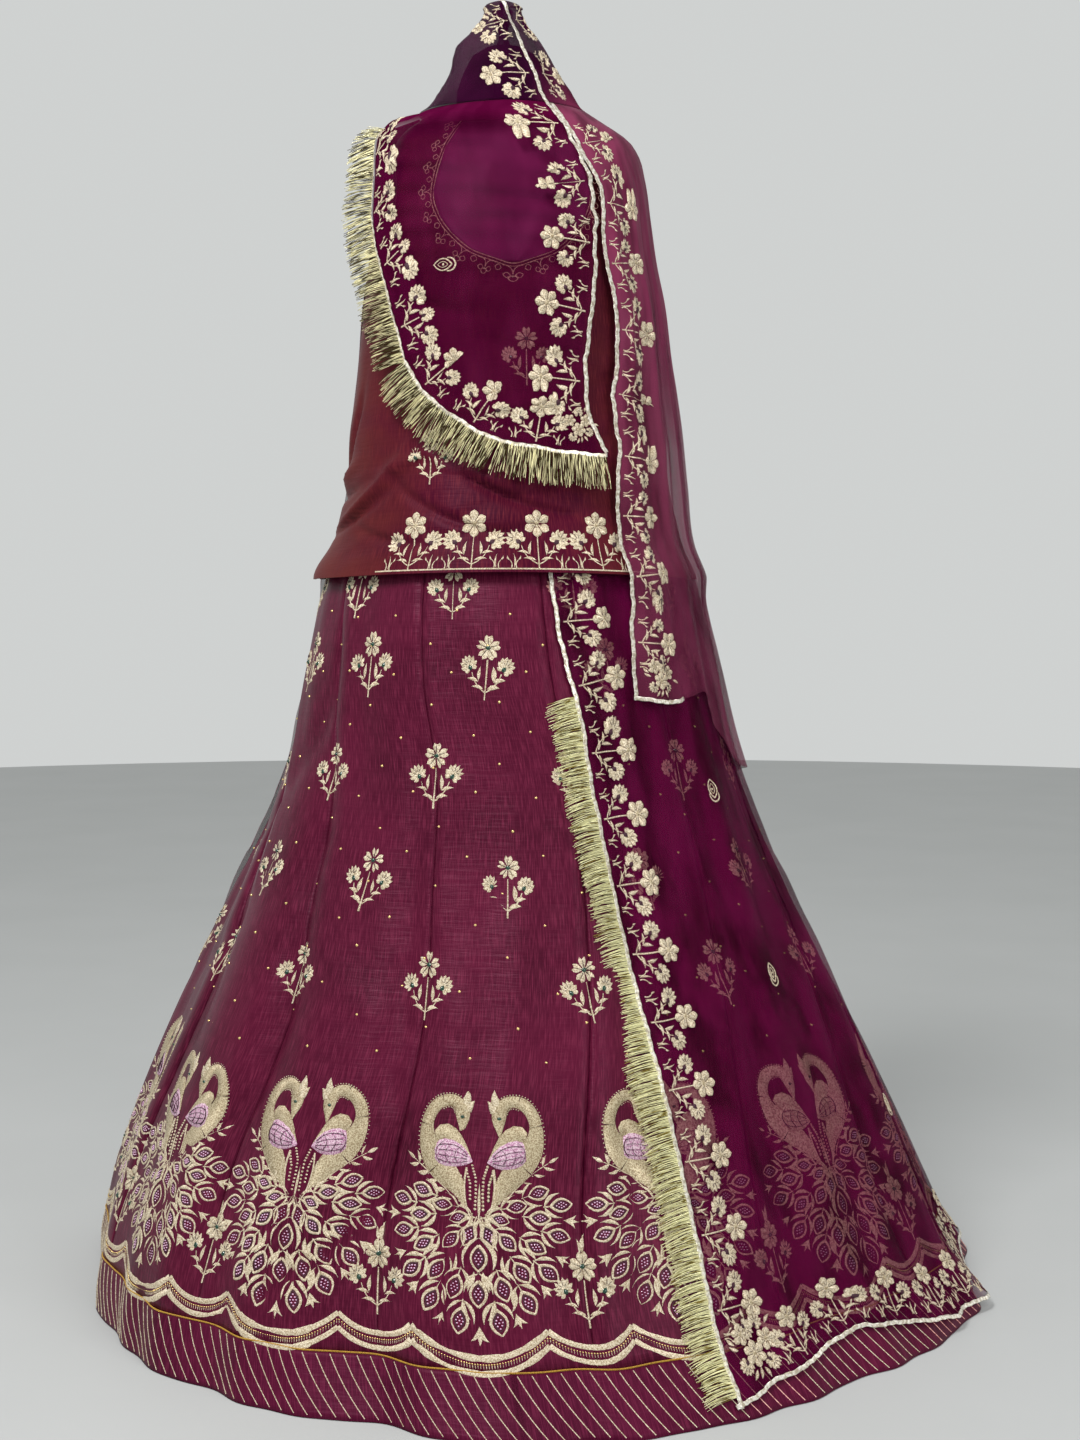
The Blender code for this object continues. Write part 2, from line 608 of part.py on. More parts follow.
def build_form(velvet, metal):
    """Limbless dress form: torso, neck cap, finial, pole and round base."""
    turn = np.arange(FORM_SIDES) * 360.0 / FORM_SIDES
    heights = np.array(FORM["height"])
    bearing, height = np.meshgrid(turn, heights)
    add_rings("form_torso", form(bearing, height), velvet)
    neck = FORM_TOP + FORM_GAP
    neck_rows = ((neck, 0.064, 0.050, 0.0), (1.460, 0.062, 0.050, 0.0), (1.482, 0.054, 0.046, 0.0),
                 (1.500, 0.041, 0.037, -0.003), (1.510, 0.024, 0.023, -0.004), (1.513, 0.012, 0.012, -0.005))
    turned("form_neck_cap", neck_rows, 24, velvet)
    tip = VEIL_TOP - CLOTH / 2 - FINIAL_CLEAR
    knob = ((1.513 + FORM_GAP, 0.010, 0.010, -0.005), (1.522, 0.006, 0.006, -0.005),
            (1.536, 0.006, 0.006, -0.005), (1.545, 0.012, 0.012, -0.006), (1.555, 0.013, 0.013, -0.006),
            (1.562, 0.007, 0.007, -0.006), (tip, 0.0015, 0.0015, -0.006))
    turned("form_finial", knob, 12, metal)
    pole_rows = ((BASE_THICK + FORM_GAP, POLE_RADIUS, POLE_RADIUS, 0.0),
                 (FORM_BOTTOM - FORM_GAP, POLE_RADIUS, POLE_RADIUS, 0.0))
    turned("form_pole", pole_rows, 16, metal)
    base_rows = ((0.0, BASE_RADIUS, BASE_RADIUS, 0.0), (0.010, BASE_RADIUS, BASE_RADIUS, 0.0),
                 (0.015, BASE_RADIUS - 0.004, BASE_RADIUS - 0.004, 0.0),
                 (BASE_THICK, BASE_RADIUS - 0.012, BASE_RADIUS - 0.012, 0.0))
    turned("form_base", base_rows, FORM_SIDES, metal)


def build_trim(hood, chest, fall_cloth, tucked_cloth, lace, tinsel):
    """Ribbons along the veil's edges and the fringes at its two short ends."""
    ribbon("ribbon_hood", hood, "right", lace, first=1)
    ribbon("ribbon_chest_right", chest, "right", lace, first=1, last=-1)
    ribbon("ribbon_chest_left", chest, "left", lace, first=1, last=-1)
    ribbon("ribbon_chest_bottom", chest, "bottom", lace, last=-1)
    ribbon("ribbon_fall", fall_cloth, "left", lace, first=1)
    ribbon("ribbon_tucked", tucked_cloth, "left", lace, first=4)
    fringe("fringe_chest_side", chest, "left", 40, (-1.2, -0.5, 0.0), 0.06, tinsel, seed=3)
    fringe("fringe_chest_bottom", chest, "bottom", 42, (0.0, -0.15, 0.0), 0.0, tinsel, seed=5)
    fringe("fringe_tucked", tucked_cloth, "left", 92, (-0.3, -0.3, 0.0), 0.2, tinsel, first=7, last=-2,
           seed=7)


def main():
    """Build every piece."""
    for old in list(bpy.data.objects):
        bpy.data.objects.remove(old)
    silk = material("skirt_silk", (0.150, 0.014, 0.045), 0.42)
    band_silk = material("band_silk", (0.120, 0.012, 0.040), 0.45)
    shot = material("tunic_silk", (0.180, 0.028, 0.035), 0.38)
    voile = material("veil_voile", (0.110, 0.006, 0.030), 0.55)
    lace = material("ribbon_silver", (0.78, 0.72, 0.60), 0.32, 0.7)
    tinsel = material("fringe_tinsel", (0.72, 0.64, 0.34), 0.28, 0.8)
    velvet = material("form_velvet", (0.012, 0.012, 0.014), 0.8)
    metal = material("form_metal", (0.05, 0.05, 0.055), 0.35, 0.8)
    build_form(velvet, metal)
    build_skirt(silk, band_silk)
    build_waistband(silk)
    build_tunic(shot)
    hood = build_hood(voile)
    chest = build_chest(voile)
    fall_cloth = build_fall(voile)
    tucked_cloth = build_tucked(voile)
    build_back(voile)
    build_trim(hood, chest, fall_cloth, tucked_cloth, lace, tinsel)


main()
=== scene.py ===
"""Rajputi poshak on a limbless dress form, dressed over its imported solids.

Metres, +Z up, the garment's front towards -Y, the floor at Z = 0. A bearing is an angle in degrees round
the figure, 0 at the front and growing towards +X. Every cloth surface is a function of bearing and height,
and the embroidery is a small library of padded strokes laid on those surfaces.
"""
import math

import bpy
import numpy as np
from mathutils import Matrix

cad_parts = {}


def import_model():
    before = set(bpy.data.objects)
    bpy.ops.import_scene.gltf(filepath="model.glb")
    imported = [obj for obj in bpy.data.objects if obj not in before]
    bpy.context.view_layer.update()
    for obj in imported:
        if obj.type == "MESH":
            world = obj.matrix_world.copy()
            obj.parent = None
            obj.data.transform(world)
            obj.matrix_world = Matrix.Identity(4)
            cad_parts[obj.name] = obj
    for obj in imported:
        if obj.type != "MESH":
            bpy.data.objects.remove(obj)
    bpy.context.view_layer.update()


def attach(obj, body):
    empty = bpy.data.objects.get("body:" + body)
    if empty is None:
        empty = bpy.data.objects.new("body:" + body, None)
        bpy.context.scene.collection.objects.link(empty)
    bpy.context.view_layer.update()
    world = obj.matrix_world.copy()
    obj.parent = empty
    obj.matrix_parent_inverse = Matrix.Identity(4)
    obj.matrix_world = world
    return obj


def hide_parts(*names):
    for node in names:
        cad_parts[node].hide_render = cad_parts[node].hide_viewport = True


# Photograph's camera
CAMERA_PLACE = (0.040, -2.47, 0.858)
CAMERA_PITCH = 4.05
CAMERA_LENS = 49.125
CAMERA_FILM = 36.0

# Cloth: thicknesses and heights in metres, bearings in degrees
SILK_THICK = 0.0011
VOILE_THICK = 0.0007
WEAVE = 0.0007
SEAM = 0.0003
GORES = 15
FIRST_GORE = -3.5
GORE_PITCH = 360.0 / GORES
GORE_MIDDLES = FIRST_GORE + (np.arange(GORES) - GORES // 2) * GORE_PITCH
SKIRT_TOP = 1.0447
BAND_HEIGHT = 0.057
HEM_CLEARANCE = 0.0006
TUNIC_HEM = 0.860
TUNIC_TOP = 1.432
ARMPIT = 1.235
SHOULDER_POINT = 1.398
ARMHOLE_HALF = 34.0
VEIL_TOP = 1.569
VEIL_SPLIT = 1.4285
VEIL_GAP = 0.0006
VEIL_ON_SKIRT = 0.0085
CHEST_LIFT = 0.0040
TUCKED_LIFT = 0.0040
TUCKED_TOP = 1.043
HOOD_SLIT = 1.2
FALL_END = 96.0
SIDE_BEARING = 96.4
BACK_START = 96.45
BACK_END = 262.0
METRES_PER_DEGREE = 0.003

# Trim: ribbon, tinsel strands and the repeats of the borders
RIBBON_WIDTH = 0.0048
RIBBON_THICK = 0.0006
RIBBON_STEP = 0.0025
STRAND_PITCH = 0.00070
STRAND_THICK = 0.00058
STRAND_STATIONS = 6
BUNCH_PITCH = 0.011
BORDER_PITCH = 0.0745
BORDER_SIZE = 0.92
BORDER_INSET = 0.0105
TUNIC_BORDER_PITCH = 0.0785
TUNIC_LINE_PITCH = 0.030
TICK_PITCH = 0.0026

# Floor and plain colours
FLOOR_RADIUS = 7.0
FLOOR_SIDES = 96
BLACK = (0.0, 0.0, 0.0)
WHITE = (1.0, 1.0, 1.0)

# Body tables: radii of each cloth's oval, left, right, front and back, by height
SKIRT = dict(
    height=(0.000, 0.030, 0.060, 0.102, 0.168, 0.267, 0.365, 0.463, 0.560, 0.657, 0.753, 0.862, 0.940,
            1.000, 1.045),
    left=(0.550, 0.540, 0.526, 0.511, 0.485, 0.443, 0.397, 0.348, 0.303, 0.270, 0.249, 0.224, 0.194,
          0.166, 0.1332),
    front=(0.562, 0.538, 0.517, 0.497, 0.470, 0.431, 0.384, 0.338, 0.297, 0.264, 0.240, 0.209, 0.178,
           0.146, 0.1032),
    back=(0.456, 0.441, 0.428, 0.415, 0.396, 0.368, 0.336, 0.303, 0.272, 0.246, 0.226, 0.198, 0.168,
          0.138, 0.1012),
    centre=(0.030, 0.022, 0.015, 0.010, 0.007, 0.005, 0.003, 0.001, 0.0, 0.0, 0.001, 0.0, 0.0, 0.0, 0.0),
)
SKIRT["right"] = SKIRT["left"]
WAISTBAND = dict(top=1.075, foot=1.045, side=0.1313, front=0.1013, back=0.0993, thick=0.0022)

# How far the gores spread at the front hip and how they twist, in degrees by height
GORE_FLOW = dict(
    height=(0.000, 0.190, 0.410, 0.520, 0.635, 0.750, 0.862, 1.045),
    spread=(3.0, 4.0, 8.0, 15.0, 20.0, 25.0, 27.0, 27.0),
    twist=(0.0, 0.0, 4.0, 4.5, 4.0, -1.0, -3.0, -3.0),
)

TUNIC = dict(
    height=(0.848, 0.862, 0.900, 0.940, 0.975, 1.040, 1.100, 1.160, 1.220, 1.270, 1.320, 1.360, 1.385,
            1.405, 1.420, 1.434),
    left=(0.238, 0.235, 0.218, 0.208, 0.200, 0.196, 0.187, 0.181, 0.174, 0.167, 0.160, 0.152, 0.1428,
          0.1298, 0.1092, 0.0802),
    front=(0.228, 0.224, 0.210, 0.195, 0.184, 0.160, 0.150, 0.150, 0.150, 0.143, 0.126, 0.108, 0.0938,
           0.0812, 0.0692, 0.0572),
    back=(0.214, 0.211, 0.199, 0.185, 0.170, 0.142, 0.127, 0.121, 0.122, 0.122, 0.117, 0.104, 0.0908,
          0.0792, 0.0682, 0.0572),
)
TUNIC["right"] = TUNIC["left"]

VEIL = dict(
    height=(0.820, 0.862, 0.900, 0.975, 1.040, 1.130, 1.200, 1.250, 1.300, 1.350, 1.381, 1.405, 1.420,
            1.434, 1.449, 1.463, 1.478, 1.493, 1.507, 1.522, 1.537, 1.551, 1.564, 1.569),
    left=(0.243, 0.241, 0.224, 0.206, 0.201, 0.190, 0.184, 0.176, 0.170, 0.165, 0.160, 0.154, 0.142,
          0.118, 0.096, 0.084, 0.070, 0.063, 0.057, 0.050, 0.036, 0.024, 0.018, 0.002),
    right=(0.243, 0.241, 0.226, 0.216, 0.209, 0.196, 0.189, 0.180, 0.174, 0.168, 0.160, 0.142, 0.124,
           0.104, 0.090, 0.080, 0.070, 0.062, 0.056, 0.048, 0.032, 0.022, 0.016, 0.002),
    front=(0.234, 0.231, 0.217, 0.191, 0.168, 0.158, 0.158, 0.156, 0.145, 0.127, 0.113, 0.100, 0.093,
           0.087, 0.080, 0.074, 0.068, 0.063, 0.058, 0.050, 0.034, 0.022, 0.014, 0.002),
    back=(0.221, 0.218, 0.205, 0.176, 0.150, 0.136, 0.133, 0.134, 0.130, 0.122, 0.114, 0.106, 0.101,
          0.096, 0.090, 0.082, 0.072, 0.064, 0.058, 0.050, 0.036, 0.024, 0.016, 0.002),
)
VEIL_CENTRE = dict(height=(0.820, 1.478, 1.507, 1.537, 1.569), shift=(0.0, 0.0, -0.004, -0.005, -0.006))

# How far the hood and shoulders draw in, left and right, by height
HOOD_SLIM = dict(
    height=(1.395, 1.405, 1.4165, 1.4225, 1.434, 1.449, 1.463, 1.478, 1.493, 1.507, 1.522, 1.537, 1.551,
            1.569),
    left=(0.0, 0.0, 0.0, 0.018, 0.019, 0.010, 0.010, 0.003, 0.001, 0.001, 0.011, 0.010, 0.004, 0.0),
    right=(0.0, 0.005, 0.010, 0.011, 0.012, 0.011, 0.011, 0.011, 0.010, 0.011, 0.014, 0.010, 0.002, 0.0),
)

# Edges of the veil's stretches
CHEST_LEFT = dict(
    bearing=(-88.0, -72.5, -70.0, -60.5, -50.5, -44.5, -38.0),
    height=(1.4150, 1.3510, 1.3010, 1.2540, 1.2090, 1.1670, 1.1150),
)
CHEST_BOTTOM = dict(
    bearing=(-38.0, -29.0, -19.0, -10.0, -1.8, 7.7, 17.3, 27.5, 34.0),
    height=(1.1150, 1.0770, 1.0510, 1.0310, 1.0180, 1.0120, 1.0060, 1.0030, 1.0030),
)
CHEST_RIGHT = dict(
    bearing=(27.6, 27.4, 29.7, 32.7, 35.0, 36.0, 34.2, 30.9, 28.3, 27.0, 28.0, 34.0),
    height=(1.4285, 1.3940, 1.3690, 1.3490, 1.3300, 1.2820, 1.2270, 1.1700, 1.1200, 1.0750, 1.0450, 1.0030),
)
CHEST_TOP = dict(
    bearing=(-88.0, -76.0, -62.0, -45.0, -15.0, 27.6),
    height=(1.4150, 1.4250, 1.4283, 1.4283, 1.4283, 1.4285),
)
HOOD_EDGE = dict(
    height=(1.4285, 1.4500, 1.4820, 1.5070, 1.5280, 1.5690),
    bearing=(27.6, 26.6, 24.7, 21.5, 19.0, 9.0),
)
FALL_LEFT = dict(
    height=(0.721, 0.760, 0.810, 0.831, 0.902, 0.962, 1.020, 1.036, 1.077, 1.119, 1.173, 1.206, 1.247,
            1.319, 1.349, 1.369, 1.394, 1.4279),
    bearing=(35.0, 35.5, 36.4, 37.7, 35.8, 36.2, 38.7, 37.6, 37.4, 41.0, 42.1, 40.7, 39.0, 40.5, 35.0,
             31.2, 28.8, 28.8),
)
FALL_FOOT = dict(
    bearing=(35.0, 48.0, 58.0, 64.0, 72.0, 96.0),
    height=(0.721, 0.714, 0.728, 0.700, 0.640, 0.615),
)
TUCKED_LEFT = dict(
    height=(0.012, 0.148, 0.300, 0.428, 0.512, 0.589, 0.631, 0.688, 0.723, 0.754, 0.795, 0.862, 1.043),
    bearing=(23.4, 23.7, 23.2, 22.3, 21.8, 20.8, 19.9, 19.2, 17.8, 16.1, 14.2, 12.8, 12.0),
)
TUCKED_FOOT = dict(
    bearing=(23.0, 28.7, 34.6, 45.2, 51.2, 61.7, 75.0, 97.0),
    height=(0.012, 0.023, 0.031, 0.044, 0.034, 0.016, 0.012, 0.030),
)
BACK_FOOT = dict(bearing=(96.0, 130.0, 180.0, 230.0, 262.0), height=(0.030, 0.045, 0.090, 0.260, 0.420))


def by_column(names, *rows):
    """Table with named columns, from its rows."""
    return dict(zip(names.split(), zip(*rows)))


# Creases: a soft trough (negative depth) or ridge each, as a place, a slant and a size
TUNIC_CREASES = by_column(
    "bearing height slant length width depth",
    (-76.0, 0.962, 8.0, 0.045, 0.005, -0.007),
    (-80.0, 0.985, 14.0, 0.04, 0.009, 0.007),
    (-60.0, 0.935, 25.0, 0.07, 0.005, -0.0065),
    (-52.0, 0.965, 38.0, 0.08, 0.006, 0.0065),
    (-40.0, 0.905, -12.0, 0.06, 0.005, -0.005),
    (-22.0, 0.935, -28.0, 0.07, 0.0045, -0.0065),
    (-6.0, 0.965, -32.0, 0.06, 0.0045, -0.0065),
    (8.0, 0.945, -20.0, 0.05, 0.005, -0.0055),
    (22.0, 0.985, 35.0, 0.06, 0.0055, -0.006),
    (-70.0, 1.06, 70.0, 0.09, 0.008, -0.007),
    (-14.0, 0.985, -24.0, 0.06, 0.005, 0.0065),
    (2.0, 0.915, 12.0, 0.07, 0.006, -0.0045),
    (-34.0, 1.0, 20.0, 0.05, 0.0045, 0.0055),
    (120.0, 0.96, 20.0, 0.08, 0.01, -0.005),
    (160.0, 1.05, -30.0, 0.09, 0.012, -0.005),
    (205.0, 0.94, 15.0, 0.08, 0.01, -0.005),
    (240.0, 1.02, 60.0, 0.07, 0.012, -0.005),
)
CHEST_CREASES = by_column(
    "bearing height slant length width depth",
    (-20.0, 1.372, -6.0, 0.07, 0.01, -0.002),
    (-8.0, 1.335, -8.0, 0.08, 0.009, 0.0018),
    (6.0, 1.3, -4.0, 0.06, 0.008, -0.0016),
    (-14.0, 1.285, 4.0, 0.07, 0.01, 0.0016),
    (2.0, 1.215, 6.0, 0.07, 0.012, -0.0018),
    (-30.0, 1.18, -20.0, 0.06, 0.01, -0.002),
    (12.0, 1.12, -10.0, 0.06, 0.01, -0.0016),
    (-4.0, 1.06, 4.0, 0.06, 0.008, 0.0016),
)
TUCKED_CREASES = by_column(
    "bearing height slant length width depth",
    (24.0, 0.8, 92.0, 0.09, 0.005, 0.004),
    (28.0, 0.78, 96.0, 0.1, 0.004, 0.0045),
    (32.0, 0.76, 98.0, 0.1, 0.005, 0.004),
    (36.0, 0.72, 100.0, 0.11, 0.006, 0.0035),
    (42.0, 0.47, 6.0, 0.06, 0.005, 0.003),
    (34.0, 0.445, 10.0, 0.05, 0.005, 0.0024),
    (52.0, 0.462, -6.0, 0.05, 0.006, 0.0026),
    (60.0, 0.38, 60.0, 0.07, 0.01, 0.002),
    (38.0, 0.3, 75.0, 0.09, 0.01, 0.002),
    (46.0, 0.56, 70.0, 0.09, 0.01, 0.002),
)
SKIRT_CREASES = by_column(
    "bearing height slant length width depth",
    (-15.5, 0.27, 93.0, 0.15, 0.006, -0.0055),
    (-18.5, 0.29, 93.0, 0.15, 0.01, 0.0045),
    (-41.0, 0.3, 80.0, 0.14, 0.008, -0.004),
    (6.0, 0.3, 92.0, 0.12, 0.008, -0.003),
    (-56.0, 0.7, 82.0, 0.16, 0.011, -0.005),
    (-44.0, 0.56, 78.0, 0.15, 0.01, -0.003),
    (-8.0, 0.8, 50.0, 0.03, 0.005, 0.002),
    (-2.0, 0.7, 86.0, 0.12, 0.008, 0.0018),
    (4.0, 0.56, 80.0, 0.13, 0.01, -0.0018),
    (-24.0, 0.62, 96.0, 0.11, 0.009, 0.0016),
    (-38.0, 0.38, 70.0, 0.12, 0.011, -0.002),
    (-18.0, 0.33, 100.0, 0.13, 0.012, 0.002),
    (8.0, 0.36, 82.0, 0.11, 0.01, -0.0018),
    (-62.0, 0.48, 72.0, 0.12, 0.01, -0.003),
    (30.0, 0.6, 90.0, 0.14, 0.01, -0.0016),
    (100.0, 0.6, 80.0, 0.16, 0.012, -0.003),
    (150.0, 0.5, 95.0, 0.16, 0.012, 0.003),
    (200.0, 0.6, 85.0, 0.16, 0.012, -0.003),
    (250.0, 0.5, 100.0, 0.16, 0.012, 0.003),
)
# Waves round the skirt: how many, how deep, where they start and how they drift with height
SKIRT_WAVES = dict(
    count=(7.0, 12.0, 19.0, 33.0, 51.0),
    depth=(0.0030, 0.0032, 0.0034, 0.0024, 0.0012),
    phase=(0.7, 2.1, 4.0, 1.3, 5.2),
    drift=(2.0, -3.0, 4.0, 3.0, -5.0),
)

# Neckline of embroidered loops on the tunic
NECKLINE = dict(
    bearing=(-23.5, -29.0, -32.3, -28.2, -22.0, -13.6, -4.0, 3.0, 10.0, 19.6, 28.0, 34.2, 38.3, 35.0, 29.5),
    height=(1.4065, 1.3731, 1.3181, 1.2866, 1.2646, 1.2443, 1.2331, 1.2270, 1.2331, 1.2443, 1.2646, 1.2866,
            1.3181, 1.3731, 1.4065),
)

# Rows of flower motifs down the skirt, by their middle's height and the gore line of the first, and the
# bird pairs and hem scallops below them
BUTA_ROWS = dict(height=(0.757, 0.636, 0.522, 0.415, 0.848), lattice=(-3.5, -15.5, -3.5, -15.5, -9.0))
PAIR_HEIGHT = 0.196
PAIR_FOOT = 0.069
PAIR_DROP = 0.127
CUSP_HEIGHT = 0.092
GORE_WIDTH = 0.215
HEM_LINES = 16
BUTA_ROOM = 0.085
BUTA_FOOT = 0.034

# Thread and bead colours, in the order of the embroidery's material slots
PALE, ANTIQUE, LILAC, BEAD, STONE, RUST, GOLD, DARK = range(8)

# Points along a stroke and along a bead, the half width over which a stroke gets a flat top, the least half
# width, and how far a stroke's rims lie inside the cloth
STATIONS = 7
BEAD_STATIONS = 5
BROAD = 0.0040
THINNEST = 0.00012
RIM_DEPTH = 0.0003
ALONG = np.linspace(0.0, 1.0, STATIONS)


def hermite(knots, values, at):
    """Smooth value at each place: cubic pieces with central slopes."""
    knots = np.array(knots, dtype=float)
    values = np.array(values, dtype=float)
    slopes = np.gradient(values, knots)
    cell = np.clip(np.searchsorted(knots, at) - 1, 0, len(knots) - 2)
    step = knots[cell + 1] - knots[cell]
    t = np.clip((at - knots[cell]) / step, 0.0, 1.0)
    start = (2 * t ** 3 - 3 * t ** 2 + 1) * values[cell] + (t ** 3 - 2 * t ** 2 + t) * step * slopes[cell]
    end = (3 * t ** 2 - 2 * t ** 3) * values[cell + 1] + (t ** 3 - t ** 2) * step * slopes[cell + 1]
    return start + end


def profile(heights, table, column):
    """Smooth value of a table's column at each height."""
    return hermite(table["height"], table[column], heights)


def straight(at, table, given, column):
    """Value of a table's column where its given column is at, along straight runs."""
    return np.interp(at, table[given], table[column])


def around(bearing, height, table, centre, lift):
    """Point on an oval body with its own left, right, front and back radii at each height.

    Its x is the side radius times the bearing's sine, its y less the front or back radius times the cosine.
    """
    turn = np.radians(bearing)
    side = np.where(np.sin(turn) > 0, profile(height, table, "right"), profile(height, table, "left"))
    depth = np.where(np.cos(turn) > 0, profile(height, table, "front"), profile(height, table, "back"))
    x = centre + (side + lift) * np.sin(turn)
    y = -(depth + lift) * np.cos(turn)
    return np.stack([x, y, height + 0.0 * x], axis=-1)


def creases(bearing, height, table):
    """Sum of soft troughs and ridges.

    Each is its depth times the exponential of less two squares: the distance across its slightly bent line
    over its width, and the distance along it over its length.
    """
    total = 0.0 * (bearing + height)
    for b, z, slant, length, width, depth in zip(*table.values()):
        turn = math.radians(slant)
        right = ((bearing - b + 180.0) % 360.0 - 180.0) * METRES_PER_DEGREE
        up = height - z
        along = right * math.cos(turn) + up * math.sin(turn)
        across = up * math.cos(turn) - right * math.sin(turn) - 2.0 * along ** 2
        total = total + depth * np.exp(-(across / width) ** 2 - (along / length) ** 2)
    return total


def gore_bearing(lattice, height):
    """Bearing of a gore line at a height: its own bearing, plus a twist, plus a spread times its sine."""
    spread = profile(height, GORE_FLOW, "spread")
    twist = profile(height, GORE_FLOW, "twist")
    return lattice + twist + spread * np.sin(np.radians(lattice + 2.0))


def gore_lattice(bearing, height):
    """The gore line at a bearing and height, found by repeating the inverse step."""
    spread = profile(height, GORE_FLOW, "spread")
    twist = profile(height, GORE_FLOW, "twist")
    lattice = bearing + 0.0 * spread
    for _ in range(7):
        lattice = bearing - twist - spread * np.sin(np.radians(lattice + 2.0))
    return lattice


def skirt_relief(bearing, height):
    """How far the skirt stands off its oval.

    A cosine ripple for each gore and two slow sines grow downwards. Sine waves that drift with the height
    and soft creases run down the gores, and a bell-shaped valley follows each seam.
    """
    drop = np.clip((0.90 - height) / 0.80, 0.0, 1.0)
    turn = np.radians(bearing)
    ripple = 0.0030 * np.cos(GORES * (turn - math.radians(FIRST_GORE)))
    sway = 0.006 * (np.sin(6.0 * turn + 0.6) + 0.5 * np.sin(4.0 * turn + 2.0))
    lattice = gore_lattice(bearing, height)
    flow = np.radians(lattice)
    fade = np.clip((1.00 - height) / 0.50, 0.0, 1.0)
    waves = 0.0 * flow
    for count, depth, phase, drift in zip(*SKIRT_WAVES.values()):
        waves = waves + depth * np.sin(count * flow + phase + drift * height)
    off_seam = (lattice - FIRST_GORE) % GORE_PITCH - GORE_PITCH / 2
    metres = off_seam * math.pi / 180.0 * profile(height, SKIRT, "left")
    ends = np.clip((1.03 - height) / 0.1, 0.0, 1.0) * np.clip((height - 0.06) / 0.10, 0.0, 1.0)
    valley = -0.0030 * np.exp(-(metres / 0.0030) ** 2) * ends
    return drop * (ripple + sway) + fade * waves + valley + creases(bearing, height, SKIRT_CREASES)


def skirt(bearing, height, lift=0.0):
    """Point on the skirt."""
    rise = lift + skirt_relief(bearing, height)
    return around(bearing, height, SKIRT, profile(height, SKIRT, "centre"), rise)


def tunic(bearing, height, lift=0.0):
    """Point on the tunic: its oval, creased, and flared by a soft bell at its hem's left corner."""
    exposed = np.clip((1.10 - height) / 0.05, 0.10, 1.0)
    left = np.exp(-((bearing + 82.0) / 16.0) ** 2) * np.exp(-((height - 0.872) / 0.030) ** 2)
    relief = exposed * creases(bearing, height, TUNIC_CREASES) + 0.008 * left
    return around(bearing, height, TUNIC, 0.0, lift + relief)


def veil(bearing, height, lift=0.0):
    """Point on the veil: round the tunic and hood above the tunic's hem, over the skirt below it."""
    centre = straight(height, VEIL_CENTRE, "height", "shift")
    turn = np.radians(bearing)
    right = straight(height, HOOD_SLIM, "height", "right") * np.clip(np.sin(turn), 0.0, 1.0)
    left = straight(height, HOOD_SLIM, "height", "left") * np.clip(-np.sin(turn), 0.0, 1.0)
    upper = around(bearing, height, VEIL, centre, lift - right - left)
    lower = skirt(bearing, height, lift + VEIL_ON_SKIRT)
    share = np.clip((height - 0.820) / 0.042, 0.0, 1.0)[..., None]
    return upper * share + lower * (1.0 - share)


def hood(bearing, height, lift=0.0):
    """Veil over the head: two sines of bearing and height fold it, and a bell swells its brow."""
    turn = np.radians(bearing)
    strength = np.clip((height - VEIL_SPLIT) / 0.03, 0.0, 1.0) * np.clip((VEIL_TOP - height) / 0.03, 0.0, 1.0)
    folds = 0.0020 * (1.0 + np.sin(5.0 * turn + 9.0 * height))
    fine = 0.0015 * (1.0 + np.sin(11.0 * turn - 20.0 * height))
    brow = 0.0035 * np.exp(-((bearing + 50.0) / 30.0) ** 2) * np.exp(-((height - 1.429) / 0.012) ** 2)
    return veil(bearing, height, lift + strength * (folds + fine) + brow)


def chest(bearing, height, lift=0.0):
    """Veil across the chest, standing a little off the shoulders' own veil surface.

    Creases and a sine of the height drag it, apart from the smooth strip behind its left border.
    """
    rise = np.clip((VEIL_SPLIT - height) / 0.030, 0.0, 1.0)
    left = np.interp(-height, -np.array(CHEST_LEFT["height"]), CHEST_LEFT["bearing"])
    inside = (bearing - left) * METRES_PER_DEGREE
    strip = np.clip((0.046 - inside) / 0.004, 0.0, 1.0) * np.clip((height - 1.13) / 0.05, 0.0, 1.0)
    drag = 0.0020 * np.sin(230.0 * height + 0.06 * bearing) * np.clip((height - 1.22) / 0.05, 0.0, 1.0)
    plain_part = (1.0 - strip) * (3.0 * creases(bearing, height, CHEST_CREASES) + drag)
    return veil(bearing, height, lift + rise * (CHEST_LIFT + 0.0010 * strip + plain_part))


def fall(bearing, height, lift=0.0):
    """Veil hanging from the shoulder: a cosine across it makes four deep folds, and a sine finer ones."""
    left = straight(height, FALL_LEFT, "height", "bearing")
    across = np.clip((bearing - left) / (FALL_END - left), 0.0, 1.0)
    down = np.clip((1.40 - height) / 0.30, 0.0, 1.0)
    wander = 2.4 * across * (1.0 - across) * np.sin(5.0 * height)
    fold = 0.0065 * (0.5 - 0.5 * np.cos(8.0 * math.pi * across + wander))
    fine = 0.0012 * (1.0 + np.sin(26.0 * math.pi * across ** 1.1 + 5.0 * height))
    inside = np.clip(8.0 * across, 0.0, 1.0) * np.clip(8.0 * (1.0 - across), 0.0, 1.0)
    return veil(bearing, height, lift + down * (fold + fine * inside))


